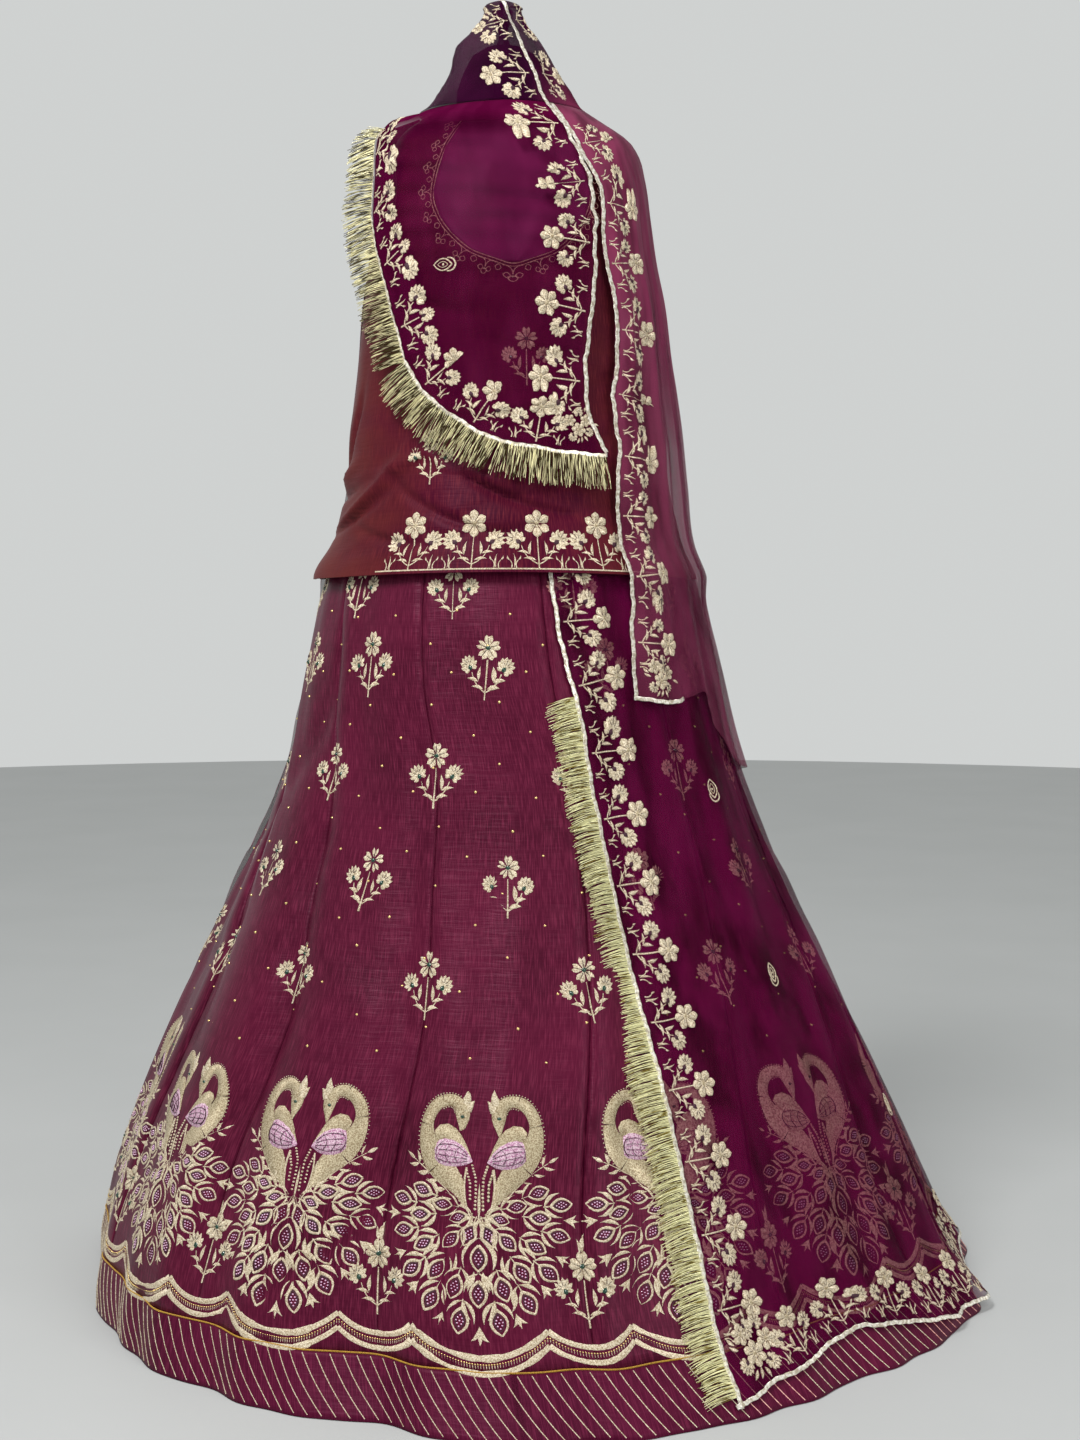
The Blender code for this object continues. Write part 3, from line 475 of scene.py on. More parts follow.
def back_veil(bearing, height, lift=0.0):
    """Veil down the back, folded by a cosine and a sine across it, and lying close below the hip."""
    drop = np.clip((0.66 - height) / 0.10, 0.0, 1.0)
    along_back = (bearing - BACK_START) / (BACK_END - BACK_START)
    down = np.clip((1.40 - height) / 0.40, 0.0, 1.0) * np.clip(8.0 * along_back, 0.0, 1.0)
    fold = 0.006 * (0.5 - 0.5 * np.cos(10.0 * math.pi * along_back))
    fine = 0.0012 * np.sin(46.0 * math.pi * along_back + 4.0 * height)
    return veil(bearing, height, lift + down * (fold + fine) - 0.0020 * drop)


def tucked(bearing, height, lift=0.0):
    """Veil over the skirt's front, its top tucked under the waistband, with fine folds fading downwards.

    The folds are two sines across it, and the corner of its foot is a bell ruffled by a sine.
    """
    close = np.clip((height - 1.000) / (TUCKED_TOP - 1.000), 0.0, 1.0)
    left = straight(height, TUCKED_LEFT, "height", "bearing")
    across = np.clip((bearing - left) / (SIDE_BEARING - left), 0.0, 1.0)
    inside = np.clip(10.0 * across, 0.0, 1.0) * np.clip(10.0 * (1.0 - across), 0.0, 1.0)
    fade = np.clip(height / 0.50, 0.25, 1.0) * inside
    folds = 0.0016 * (1.0 + np.sin(44.0 * across + 1.0))
    fine = 0.0008 * (1.0 + np.sin(97.0 * across + 6.0 * height))
    ruffle = 0.5 + 0.5 * np.sin(bearing * 0.55)
    corner = 0.016 * np.exp(-((bearing - 68.0) / 9.0) ** 2) * np.exp(-(height / 0.05) ** 2) * ruffle
    relief = fade * (folds + fine) * (1.0 - close) + creases(bearing, height, TUCKED_CREASES) + corner
    return skirt(bearing, height, lift + TUCKED_LIFT - 0.0021 * close + relief)


def normals_of(surface, bearing, height):
    """Outward normals of a surface, from small steps along bearing and height."""
    across = surface(bearing + 0.05, height) - surface(bearing - 0.05, height)
    upward = surface(bearing, height + 0.0002) - surface(bearing, height - 0.0002)
    normals = np.cross(across, upward)
    return normals / np.maximum(np.linalg.norm(normals, axis=-1, keepdims=True), 1e-12)


def unit(vectors):
    """Vectors made one long."""
    return vectors / np.maximum(np.linalg.norm(vectors, axis=-1, keepdims=True), 1e-12)


def grid_faces(rows, columns, ring=False):
    """Quads of a grid whose rows run downwards and whose columns run towards growing bearings."""
    r = np.arange(rows - 1)[:, None]
    c = np.arange(columns if ring else columns - 1)[None, :]
    a = r * columns + c
    b = r * columns + (c + 1) % columns
    return np.stack([a, a + columns, b + columns, b], axis=-1).reshape(-1, 4)


def add_mesh(name, points, faces, paints, uv=None, paint_index=None):
    """New smooth mesh piece riding on the part, from arrays of points, faces and a pair of coordinates."""
    mesh = bpy.data.meshes.new(name)
    mesh.from_pydata(points.reshape(-1, 3).tolist(), [], faces.tolist())
    for paint in paints:
        mesh.materials.append(paint)
    if paint_index is not None:
        mesh.polygons.foreach_set("material_index", paint_index.astype(np.int32))
    if uv is not None:
        corners = np.empty(len(mesh.loops), dtype=np.int32)
        mesh.loops.foreach_get("vertex_index", corners)
        layer = mesh.uv_layers.new(name="cloth")
        layer.data.foreach_set("uv", uv.reshape(-1, 2)[corners].ravel())
    mesh.shade_smooth()
    piece = bpy.data.objects.new(name, mesh)
    bpy.context.scene.collection.objects.link(piece)
    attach(piece, "root")
    return piece


def cloth_uv(points):
    """Mean distances along a grid's rows and columns, in metres, for its weave."""
    across = np.linalg.norm(np.diff(points, axis=1), axis=-1).mean(axis=0)
    down = np.linalg.norm(np.diff(points, axis=0), axis=-1).mean(axis=1)
    u = np.r_[0.0, np.cumsum(across)]
    v = np.r_[0.0, np.cumsum(down)]
    return np.stack(np.meshgrid(u, v), axis=-1)


def skinned(name, points, normals, thick, paint, ring=False):
    """Closed thin piece from a grid: a skin half a thickness off it on each side, and its rims."""
    rows, columns = points.shape[:2]
    count = rows * columns
    skins = np.concatenate([(points + normals * thick / 2).reshape(-1, 3),
                            (points - normals * thick / 2).reshape(-1, 3)])
    outer = grid_faces(rows, columns, ring)
    c = np.arange(columns if ring else columns - 1)
    d = (c + 1) % columns
    low = (rows - 1) * columns
    faces = [outer, outer[:, ::-1] + count,
             np.stack([c, d, count + d, count + c], axis=1),
             np.stack([low + d, low + c, count + low + c, count + low + d], axis=1)]
    if not ring:
        a = np.arange(rows - 1) * columns
        e = a + columns - 1
        faces.append(np.stack([a + columns, a, count + a, count + a + columns], axis=1))
        faces.append(np.stack([e, e + columns, count + e + columns, count + e], axis=1))
    uv = cloth_uv(points).reshape(-1, 2)
    return add_mesh(name, skins, np.concatenate(faces), [paint], np.concatenate([uv, uv]))


def shell(name, surface, bearing, height, thick, paint, slot, ring=False):
    """Closed thin piece over a grid of bearings and heights on a surface."""
    normals = normals_of(surface, bearing, height)
    return skinned(name, surface(bearing, height), normals, thick, paint, ring)


# Strokes of embroidery

def arc(start, end, bow=0.0):
    """Centre line from one point to another, bent sideways as a parabola by a share of its length."""
    start, end = np.array(start, dtype=float), np.array(end, dtype=float)
    run = end - start
    t = ALONG[:, None]
    return start + run * t + np.array([-run[1], run[0]]) * bow * 4.0 * t * (1.0 - t)


def stroke(line, half, thread, rise):
    """A padded stroke: centre line, half widths, thread and rise off the cloth."""
    return dict(line=line, half=np.maximum(half, THINNEST), thread=thread, rise=rise)


def leaf(start, end, half, bow=0.0, thread=PALE, rise=0.0009):
    """Leaf pointed at both ends: its half width is a sine along it, widest a little before its middle."""
    return stroke(arc(start, end, bow), half * np.sin(np.pi * ALONG ** 0.85), thread, rise)


def petal(start, end, half):
    """Petal narrow at its start and rounded at its end, by a sine of a power of the share along it."""
    swell = np.sin(np.pi * np.minimum(ALONG ** 1.7 + 0.03, 1.0)) ** 0.7
    return stroke(arc(start, end), half * swell, PALE, 0.0010)


def stem(start, end, half, bow=0.0, thread=PALE, rise=0.0007):
    """Thin line of even width, a little narrower at its end."""
    return stroke(arc(start, end, bow), half * (1.0 - 0.3 * ALONG), thread, rise)


def even_line(start, end, half, thread, rise, bow=0.0):
    """Line of one width from end to end."""
    return stroke(arc(start, end, bow), np.full(STATIONS, half), thread, rise)


def end_to_end(line, half, thread, rise):
    """Strokes end to end along a line of many points."""
    cuts = [slice(k, k + STATIONS) for k in range(0, len(line) - 1, STATIONS - 1)]
    return [stroke(line[cut], half[cut], thread, rise) for cut in cuts]


def disc(centre, radius, thread=PALE, rise=0.0010):
    """Round pad or bead: its half width is the height of a half circle."""
    x = -np.cos(np.pi * np.linspace(0.0, 1.0, BEAD_STATIONS))
    line = np.array(centre, dtype=float) + np.stack([x * radius, 0.0 * x], axis=1)
    return stroke(line, radius * np.sqrt(np.maximum(1.0 - x ** 2, 0.0)), thread, rise)


def polar(centre, angle, reach):
    """Point at an angle in degrees, from the x axis, and a distance."""
    turn = math.radians(angle)
    return (centre[0] + reach * math.cos(turn), centre[1] + reach * math.sin(turn))


def vein(centre, angle, near, far):
    """Dark stitched line along a petal, from one distance off the flower's centre to another."""
    return stem(polar(centre, angle, near), polar(centre, angle, far), 0.00042, 0.0, DARK, 0.0015)


def round_petal(centre, angle, radius, share):
    """Petal from near a flower's centre out to its rim, as broad as a share of the flower's radius."""
    return petal(polar(centre, angle, 0.10 * radius), polar(centre, angle, radius), share * radius)


def open_flower(centre, radius, turn=90.0):
    """Flower seen from the front: six rounded petals round a small pad."""
    strokes = []
    for k in range(6):
        angle = turn + 60.0 * k
        strokes.append(round_petal(centre, angle, radius, 0.34))
        strokes.append(vein(centre, angle, 0.26 * radius, 0.66 * radius))
    strokes.append(disc(centre, 0.17 * radius, ANTIQUE, 0.0016))
    return strokes


def lobed_flower(centre, radius):
    """Flower of five broad petals, each with two lobes, and a stone at its middle."""
    strokes = []
    for k in range(5):
        for lobe in (-13.0, 13.0):
            strokes.append(round_petal(centre, 90.0 + 72.0 * k + lobe, radius, 0.25))
        strokes.append(vein(centre, 90.0 + 72.0 * k, 0.22 * radius, 0.74 * radius))
    strokes.append(disc(centre, 0.21 * radius, STONE, 0.0028))
    return strokes


def fan_flower(centre, radius, stalk_angle, stone):
    """Flower seen from the side: petals fanned round from its stalk's end into a scalloped disc."""
    foot = polar(centre, stalk_angle, 0.45 * radius)
    strokes = []
    for turn in (-118.0, -84.0, -52.0, -25.0, 0.0, 25.0, 52.0, 84.0, 118.0):
        strokes.append(petal(foot, polar(centre, stalk_angle + 180.0 + turn * 1.12, radius), 0.30 * radius))
    for turn in (-66.0, -22.0, 22.0, 66.0):
        strokes.append(vein(centre, stalk_angle + 180.0 + turn, 0.20 * radius, 0.70 * radius))
    strokes.append(leaf(polar(centre, stalk_angle, 0.72 * radius), polar(centre, stalk_angle, 0.05 * radius),
                        0.30 * radius, 0.0, stone, 0.0027))
    return strokes


def sprig_of_three(foot, angle, length, half):
    """Three leaves from one foot, the outer two curling away."""
    tips = [(0.0, 1.0, 0.0), (30.0, 0.88, -0.16), (-30.0, 0.88, 0.16)]
    return [leaf(foot, polar(foot, angle + turn, length * share), half, bow) for turn, share, bow in tips]


def curled_grass(foot, length):
    """Three thin curled blades standing side by side on the edge."""
    strokes = [leaf(foot, (foot[0] + 0.0006, foot[1] + length), 0.0014, 0.10)]
    for side in (1.0, -1.0):
        bend = (foot[0] + side * 0.0050, foot[1] + 0.55 * length)
        strokes.append(stem((foot[0] + side * 0.0030, foot[1]), bend, 0.0010, side * 0.16))
        strokes.append(leaf(bend, (foot[0] + side * 0.0078, foot[1] + 0.86 * length), 0.0013, side * -0.16))
    return strokes


def mirrored(strokes):
    """The same strokes reflected in the motif's upright axis."""
    flip = np.array([-1.0, 1.0])
    return [dict(s, line=s["line"] * flip) for s in strokes]


def moved(strokes, shift=(0.0, 0.0), size=1.0):
    """The same strokes scaled and shifted."""
    return [dict(s, line=s["line"] * size + np.array(shift), half=s["half"] * size) for s in strokes]


def branch():
    """Side stalk of a flower motif, with its leaves and fan flower."""
    strokes = [stem((0.001, 0.009), (0.0175, 0.0305), 0.0011, -0.10)]
    strokes += fan_flower((0.0225, 0.0395), 0.0108, 238.0, STONE)
    strokes.append(leaf((0.0085, 0.0215), (0.0075, 0.0385), 0.0030, -0.06))
    strokes.append(leaf((0.0090, 0.0205), (0.0225, 0.0235), 0.0027, 0.10))
    strokes.append(leaf((0.0020, 0.0120), (0.0165, 0.0145), 0.0027, 0.12))
    return strokes


def skirt_buta():
    """Three flowers on leafy stalks, with a green stone in each."""
    strokes = [stem((0.0, 0.0), (0.0, 0.046), 0.0014)]
    return strokes + lobed_flower((0.0, 0.0595), 0.0150) + branch() + mirrored(branch())


def base_buta():
    """Taller motif between the bird pairs: the three flowers with two long buds over them."""
    strokes = moved(skirt_buta(), size=1.10)
    strokes.append(leaf((0.002, 0.079), (0.0060, 0.101), 0.0034, 0.10))
    strokes.append(leaf((-0.002, 0.079), (-0.0045, 0.096), 0.0030, -0.10))
    return strokes


def border_unit(tall=True):
    """Border repeat: an open flower on a tall stalk or a low one, fan flowers and sprigs at its sides."""
    middle = 0.0555 if tall else 0.0400
    strokes = [stem((0.0, 0.0), (0.0, middle - 0.010), 0.0012)]
    if tall:
        strokes += open_flower((0.0, middle), 0.0170)
    else:
        strokes += fan_flower((0.0, middle), 0.0100, 270.0, DARK)
    side = [stem((0.001, 0.006), (0.0200, 0.0285), 0.0010, -0.12)]
    side += fan_flower((0.0275, 0.0360), 0.0128, 218.0, DARK)
    side.append(leaf((0.0098, 0.0170), (0.0080, 0.0340), 0.0025, -0.08))
    side.append(leaf((0.0110, 0.0185), (0.0250, 0.0205), 0.0022, 0.12))
    side.append(leaf((0.0030, 0.0105), (0.0180, 0.0125), 0.0022, 0.12))
    side += curled_grass((0.0290, 0.0010), 0.0175)
    return strokes + side + mirrored(side)


def corner_cluster():
    """Flowers crowded into a corner of the veil, with leaves between them."""
    strokes = open_flower((0.0, 0.0), 0.0150)
    strokes += open_flower((0.0215, 0.0120), 0.0130, 70.0)
    strokes += open_flower((-0.0110, 0.0235), 0.0130, 100.0)
    strokes += fan_flower((0.0130, 0.0330), 0.0100, 250.0, DARK)
    strokes += fan_flower((-0.0170, -0.0100), 0.0095, 60.0, DARK)
    strokes += fan_flower((0.0190, -0.0120), 0.0095, 140.0, DARK)
    leaves = (
        (0.0, -0.0150, 250.0), (0.0050, -0.0160, 290.0), (-0.0200, 0.0080, 150.0), (-0.0060, -0.0160, 230.0),
        (0.0330, 0.0000, 330.0), (0.0010, 0.0400, 100.0), (0.0260, 0.0290, 50.0), (-0.0230, 0.0140, 130.0),
    )
    for x, y, angle in leaves:
        strokes.append(leaf((x, y), polar((x, y), angle, 0.0120), 0.0024, 0.08))
    return strokes


def almond_buti():
    """Small outlined almond with a pad inside and a cup at its foot."""
    strokes = [stem((0.0, -0.010), (0.0, 0.013), 0.0010, bow, PALE, 0.0010) for bow in (0.30, -0.30)]
    strokes += [stem((0.0, -0.005), (0.0, 0.008), 0.0006, bow, PALE) for bow in (0.26, -0.26)]
    strokes.append(disc((0.0, 0.001), 0.0016))
    strokes += [stem((0.0, -0.0145), (side * 0.0075, -0.004), 0.0012, side * -0.22) for side in (1, -1)]
    return strokes


def tail_eye(centre, angle, length):
    """Feather eye: an outlined teardrop with a lilac lining, magenta beads and two bracket leaves."""
    foot = polar(centre, angle, -0.5 * length)
    tip = polar(centre, angle, 0.5 * length)
    inner_foot = polar(centre, angle, -0.36 * length)
    inner_tip = polar(centre, angle, 0.34 * length)
    strokes = []
    for side in (1.0, -1.0):
        strokes.append(stem(foot, tip, 0.0018, 0.30 * side, PALE, 0.0011))
        strokes.append(stem(inner_foot, inner_tip, 0.0010, 0.24 * side, DARK, 0.0007))
        wing = polar(polar(centre, angle, -0.02 * length), angle + 90.0 * side, 0.0064 + 0.29 * length)
        strokes.append(leaf(polar(foot, angle, -0.30 * length), wing, 0.0024, 0.16 * side, PALE, 0.0011))
    for step, across in ((-0.22, 0.0), (-0.11, 0.08), (-0.11, -0.08), (0.0, 0.13), (0.0, -0.13), (0.0, 0.0),
                         (0.11, 0.08), (0.11, -0.08), (0.22, 0.0)):
        spot = polar(polar(centre, angle, step * length), angle + 90.0, across * length)
        strokes.append(disc(spot, 0.00090, BEAD, 0.0014))
    return strokes


def leafy_stalk(start, end, bow, leaves, length, half):
    """Stalk with leaf pairs along it and one leaf at its end."""
    line = arc(start, end, bow)
    strokes = [stem(start, end, 0.0010, bow)]
    for k in range(leaves):
        share = (k + 0.7) / (leaves + 0.2) * (STATIONS - 1)
        spot = np.array([np.interp(share, np.arange(STATIONS), line[:, axis]) for axis in (0, 1)])
        after = line[min(int(share) + 1, STATIONS - 1)] - line[int(share)]
        heading = math.degrees(math.atan2(after[1], after[0]))
        for side in (1.0, -1.0):
            strokes.append(leaf(spot, polar(spot, heading + 42.0 * side, length), half, 0.10 * side))
    strokes.append(leaf(line[-1], polar(line[-1], heading, length), half))
    return strokes


# Bird motif, in metres from the pair's axis and up from the tail's lowest tip
TAIL_EYES = dict(
    x=(-0.0102, -0.0215, -0.0385, -0.0612, -0.0840, -0.0618, -0.0286, -0.0561, -0.0796, -0.0674, -0.0419,
       -0.0235, -0.0465, -0.0185),
    y=(0.1100, 0.1266, 0.1394, 0.1530, 0.1400, 0.1275, 0.1035, 0.0983, 0.1085, 0.0714, 0.0728, 0.0567, 0.0430,
       0.0240),
    length=(0.0250, 0.0190, 0.0205, 0.0220, 0.0220, 0.0215, 0.0220, 0.0225, 0.0225, 0.0240, 0.0240, 0.0250,
            0.0250, 0.0260),
)
TAIL_TIPS = dict(x=(-0.0340, -0.0590, -0.0745, -0.0850), y=(0.0330, 0.0600, 0.0880, 0.1240))
BIRD_NECK = dict(
    x=(-0.0159, -0.0223, -0.0334, -0.0477, -0.0588, -0.0646, -0.0658, -0.0626, -0.0557, -0.0461, -0.0350,
       -0.0270, -0.0223, -0.0216, -0.0223, -0.0229),
    y=(0.1380, 0.1526, 0.1670, 0.1810, 0.1956, 0.2083, 0.2210, 0.2320, 0.2410, 0.2465, 0.2474, 0.2433, 0.2353,
       0.2274, 0.2194, 0.2115),
    half=(0.0010, 0.0078, 0.0125, 0.0150, 0.0140, 0.0105, 0.0080, 0.0075, 0.0070, 0.0065, 0.0062, 0.0070,
          0.0090, 0.0080, 0.0045, 0.0012),
)
BIRD_SHOULDER = dict(
    x=(-0.0541, -0.0461, -0.0366, -0.0254, -0.0111),
    y=(0.2115, 0.2131, 0.2083, 0.1987, 0.1870),
    half=(0.0040, 0.0105, 0.0125, 0.0100, 0.0015),
)
BIRD_WING = dict(
    x=(-0.0545, -0.0495, -0.0420, -0.0305, -0.0190, -0.0090),
    y=(0.1965, 0.1955, 0.1940, 0.1910, 0.1875, 0.1845),
    half=(0.0040, 0.0125, 0.0155, 0.0150, 0.0095, 0.0008),
)
# Bead rows between the pair, as places down each row
BEAD_ROWS = (
    dict(x=(-0.0089, -0.0045, -0.0038, -0.0045), y=(0.1806, 0.1685, 0.1526, 0.1367), count=13),
    dict(x=(-0.0153, -0.0108, -0.0102), y=(0.1749, 0.1622, 0.1463), count=9),
    dict(x=(-0.0312, -0.0270, -0.0197), y=(0.1606, 0.1511, 0.1399), count=7),
)
# Spot that the tail's feathers point away from, and how much wider the tail is laid
HUB = (0.0, 0.134)
TAIL_WIDER = 1.07
# Leaves between the feather eyes: start, end and bend
TAIL_LEAVES = (
    ((0.0105, 0.1010), (0.0140, 0.0760), 0.14), ((0.0045, 0.0740), (0.0120, 0.0560), -0.12),
    ((0.0230, 0.0900), (0.0300, 0.0660), -0.12), ((0.0140, 0.0440), (0.0080, 0.0260), 0.14),
    ((0.0400, 0.0980), (0.0560, 0.0840), 0.14), ((0.0340, 0.0560), (0.0300, 0.0330), 0.12),
)


def bent(table, colour, rise, spans=1):
    """Broad strokes along a table of centre points and half widths, and their whole line and widths."""
    steps = np.arange(len(table["x"]))
    reach = np.linspace(0.0, len(steps) - 1.0, spans * (STATIONS - 1) + 1)
    line = np.stack([hermite(steps, table["x"], reach), hermite(steps, table["y"], reach)], axis=1)
    half = hermite(steps, table["half"], reach)
    return end_to_end(line, half, colour, rise), line, half


def bead_row(points, steps, radius):
    """Beads at given steps along a row of points."""
    places = [np.interp(steps, np.arange(len(points)), column) for column in np.transpose(points)]
    return [disc(place, radius, PALE, 0.0013) for place in zip(*places)]


def bead_rim(line, away, steps, radius):
    """Beads beside a line, at given steps along it and a distance to its left."""
    run = unit(np.gradient(line, axis=0))
    rim = line + np.stack([-run[:, 1], run[:, 0]], axis=1) * away[:, None]
    return bead_row(rim, steps, radius)


def bird_body():
    """Left bird of the pair: body, neck, head, crest and wing, and the bead rows beside them."""
    strokes, line, half = bent(BIRD_NECK, ANTIQUE, 0.0013, 5)
    strokes += bead_rim(line, half + 0.0010, np.linspace(6.0, 24.5, 36), 0.0009)
    strokes += bead_rim(line, -half - 0.0010, np.linspace(17.5, 23.0, 8), 0.0008)
    strokes += bent(BIRD_SHOULDER, ANTIQUE, 0.0017)[0]
    strokes += bent(BIRD_WING, LILAC, 0.0022)[0]
    for k in range(4):
        strokes.append(stem((-0.0480, 0.2010 - 0.0050 * k), (-0.0150, 0.1905 - 0.0020 * k), 0.0009,
                            0.14 - 0.08 * k, DARK, 0.0032))
    for k in range(3):
        strokes.append(stem((-0.0470 + 0.010 * k, 0.1830), (-0.0430 + 0.010 * k, 0.2050 - 0.003 * k), 0.0008,
                            0.3, DARK, 0.0032))
    strokes.append(leaf((-0.0215, 0.2370), (-0.0165, 0.2590), 0.0054, -0.08, PALE, 0.0013))
    strokes.append(leaf((-0.0185, 0.2310), (-0.0080, 0.2470), 0.0048, 0.08, PALE, 0.0013))
    strokes.append(disc((-0.0225, 0.2300), 0.0030, STONE, 0.0034))
    strokes.append(stem((-0.0155, 0.1780), (-0.0068, 0.1230), 0.0016, -0.10, PALE, 0.0012))
    strokes.append(stem((-0.0215, 0.1700), (-0.0125, 0.1330), 0.0013, -0.10, PALE, 0.0012))
    for row in BEAD_ROWS:
        points = np.stack([row["x"], row["y"]], axis=1)
        strokes += bead_row(points, np.linspace(0.0, len(points) - 1.0, row["count"]), 0.0016)
    return strokes


def bird_tail():
    """Left half of the pair's tail: a leafy stalk, feather eyes and the leaves between them."""
    strokes = leafy_stalk((-0.0210, 0.1375), (-0.0730, 0.1830), -0.06, 5, 0.0130, 0.0025)
    for x, y, length in zip(TAIL_EYES["x"], TAIL_EYES["y"], TAIL_EYES["length"]):
        heading = math.degrees(math.atan2(y - HUB[1], x - HUB[0]))
        strokes += tail_eye((x, y), heading, length)
        foot = polar((x, y), heading, -0.5 * length)
        strokes.append(stem(foot, polar((x, y), heading, -0.85 * length), 0.0010))
    for x, y in zip(TAIL_TIPS["x"], TAIL_TIPS["y"]):
        heading = math.degrees(math.atan2(y - HUB[1], x - HUB[0]))
        strokes += sprig_of_three((x, y), heading, 0.0160, 0.0026)
    return strokes


def shared_tail():
    """Whole fan of feather eyes that the two birds share."""
    strokes = bird_tail() + mirrored(bird_tail())
    strokes += tail_eye((0.0, 0.0870), 270.0, 0.0260) + tail_eye((0.0, 0.0516), 270.0, 0.0260)
    for start, end, bow in TAIL_LEAVES:
        for side in (1.0, -1.0):
            strokes.append(leaf((side * start[0], start[1]), (side * end[0], end[1]), 0.0027, side * bow))
    strokes.append(leaf((0.0, 0.1630), (0.0, 0.1210), 0.0022))
    strokes += sprig_of_three((0.0, 0.0200), 270.0, 0.0190, 0.0028)
    wider = np.array([TAIL_WIDER, 1.0])
    return [dict(s, line=s["line"] * wider) for s in strokes]


# Laying strokes on cloth

def metres_along(surface, bearing, height, step):
    """Metres that one degree of bearing and one metre of height measure on a surface."""
    wide = np.linalg.norm(surface(bearing + 0.5, height) - surface(bearing - 0.5, height), axis=-1)
    tall = np.linalg.norm(surface(bearing, height + step) - surface(bearing, height - step), axis=-1)
    return wide, tall / (2.0 * step)


def per_spot(values, x):
    """A value for each spot, shaped so that it spreads over a motif's coordinates there."""
    return values.reshape((-1,) + (1,) * x.ndim)


def patch_ground(surface, bearing, height, angle=0.0, size=1.0):
    """Map from a motif's flat coordinates to bearing and height, round each of some spots."""
    given = np.broadcast_arrays(bearing, height, angle, size)
    bearing, height, angle, size = (np.ravel(part) for part in given)
    wide, tall = metres_along(surface, bearing, height, 0.002)
    turn = np.radians(angle)
    parts = (bearing, height, wide, tall, np.cos(turn) * size, np.sin(turn) * size)

    def ground(x, y):
        """Bearing and height at every spot: coordinates turned, sized and divided by its measures."""
        b, z, w, t, c, s = (per_spot(part, x) for part in parts)
        return b + (c * x - s * y) / w, z + (s * x + c * y) / t

    return ground


def edge_track(surface, bearing, height, inward):
    """An edge of a cloth by its length, with the way into the cloth; inward is 1 for left of its run."""
    bearing, height = np.array(bearing, dtype=float), np.array(height, dtype=float)
    line = surface(bearing, height)
    length = np.r_[0.0, np.cumsum(np.linalg.norm(np.diff(line, axis=0), axis=1))]
    wide, tall = metres_along(surface, bearing, height, 0.001)
    run = unit(np.stack([np.gradient(bearing, length) * wide, np.gradient(height, length) * tall], axis=1))
    return dict(length=length, bearing=bearing, height=height,
                in_bearing=-run[:, 1] * inward / wide, in_height=run[:, 0] * inward / tall)


def off_edge(track, s, deep):
    """Bearing and height at a length along an edge and a depth into its cloth."""
    keys = ("bearing", "in_bearing", "height", "in_height")
    bearing, in_bearing, height, in_height = (np.interp(s, track["length"], track[key]) for key in keys)
    return bearing + deep * in_bearing, height + deep * in_height


def edge_ground(track, stations, size=1.0, deep=1.0):
    """Map from a motif's coordinates, along and into the cloth, to bearing and height at each station."""
    def ground(x, y):
        """Bearing and height of coordinates along and into the cloth at every station."""
        return off_edge(track, per_spot(stations, x) + x * size, y * size * deep)

    return ground


def lay(strokes, ground, surface):
    """Layers of a motif laid at every spot of a ground, one for each kind of stroke: bead, slim or broad."""
    kinds = {}
    for s in strokes:
        kinds.setdefault((len(s["line"]), s["half"].max() > BROAD), []).append(s)
    return [lay_alike(group, ground, surface, broad) for (_, broad), group in kinds.items()]


def under_veil(bearing, height):
    """Whether a spot on the skirt lies under the veil, whose plum tints the thread there."""
    turn = bearing % 360.0
    start = straight(height, TUCKED_LEFT, "height", "bearing")
    foot = np.where(turn < SIDE_BEARING, straight(turn, TUCKED_FOOT, "bearing", "height"),
                    straight(turn, BACK_FOOT, "bearing", "height"))
    return (turn > start) & (turn < BACK_END) & (height > foot)


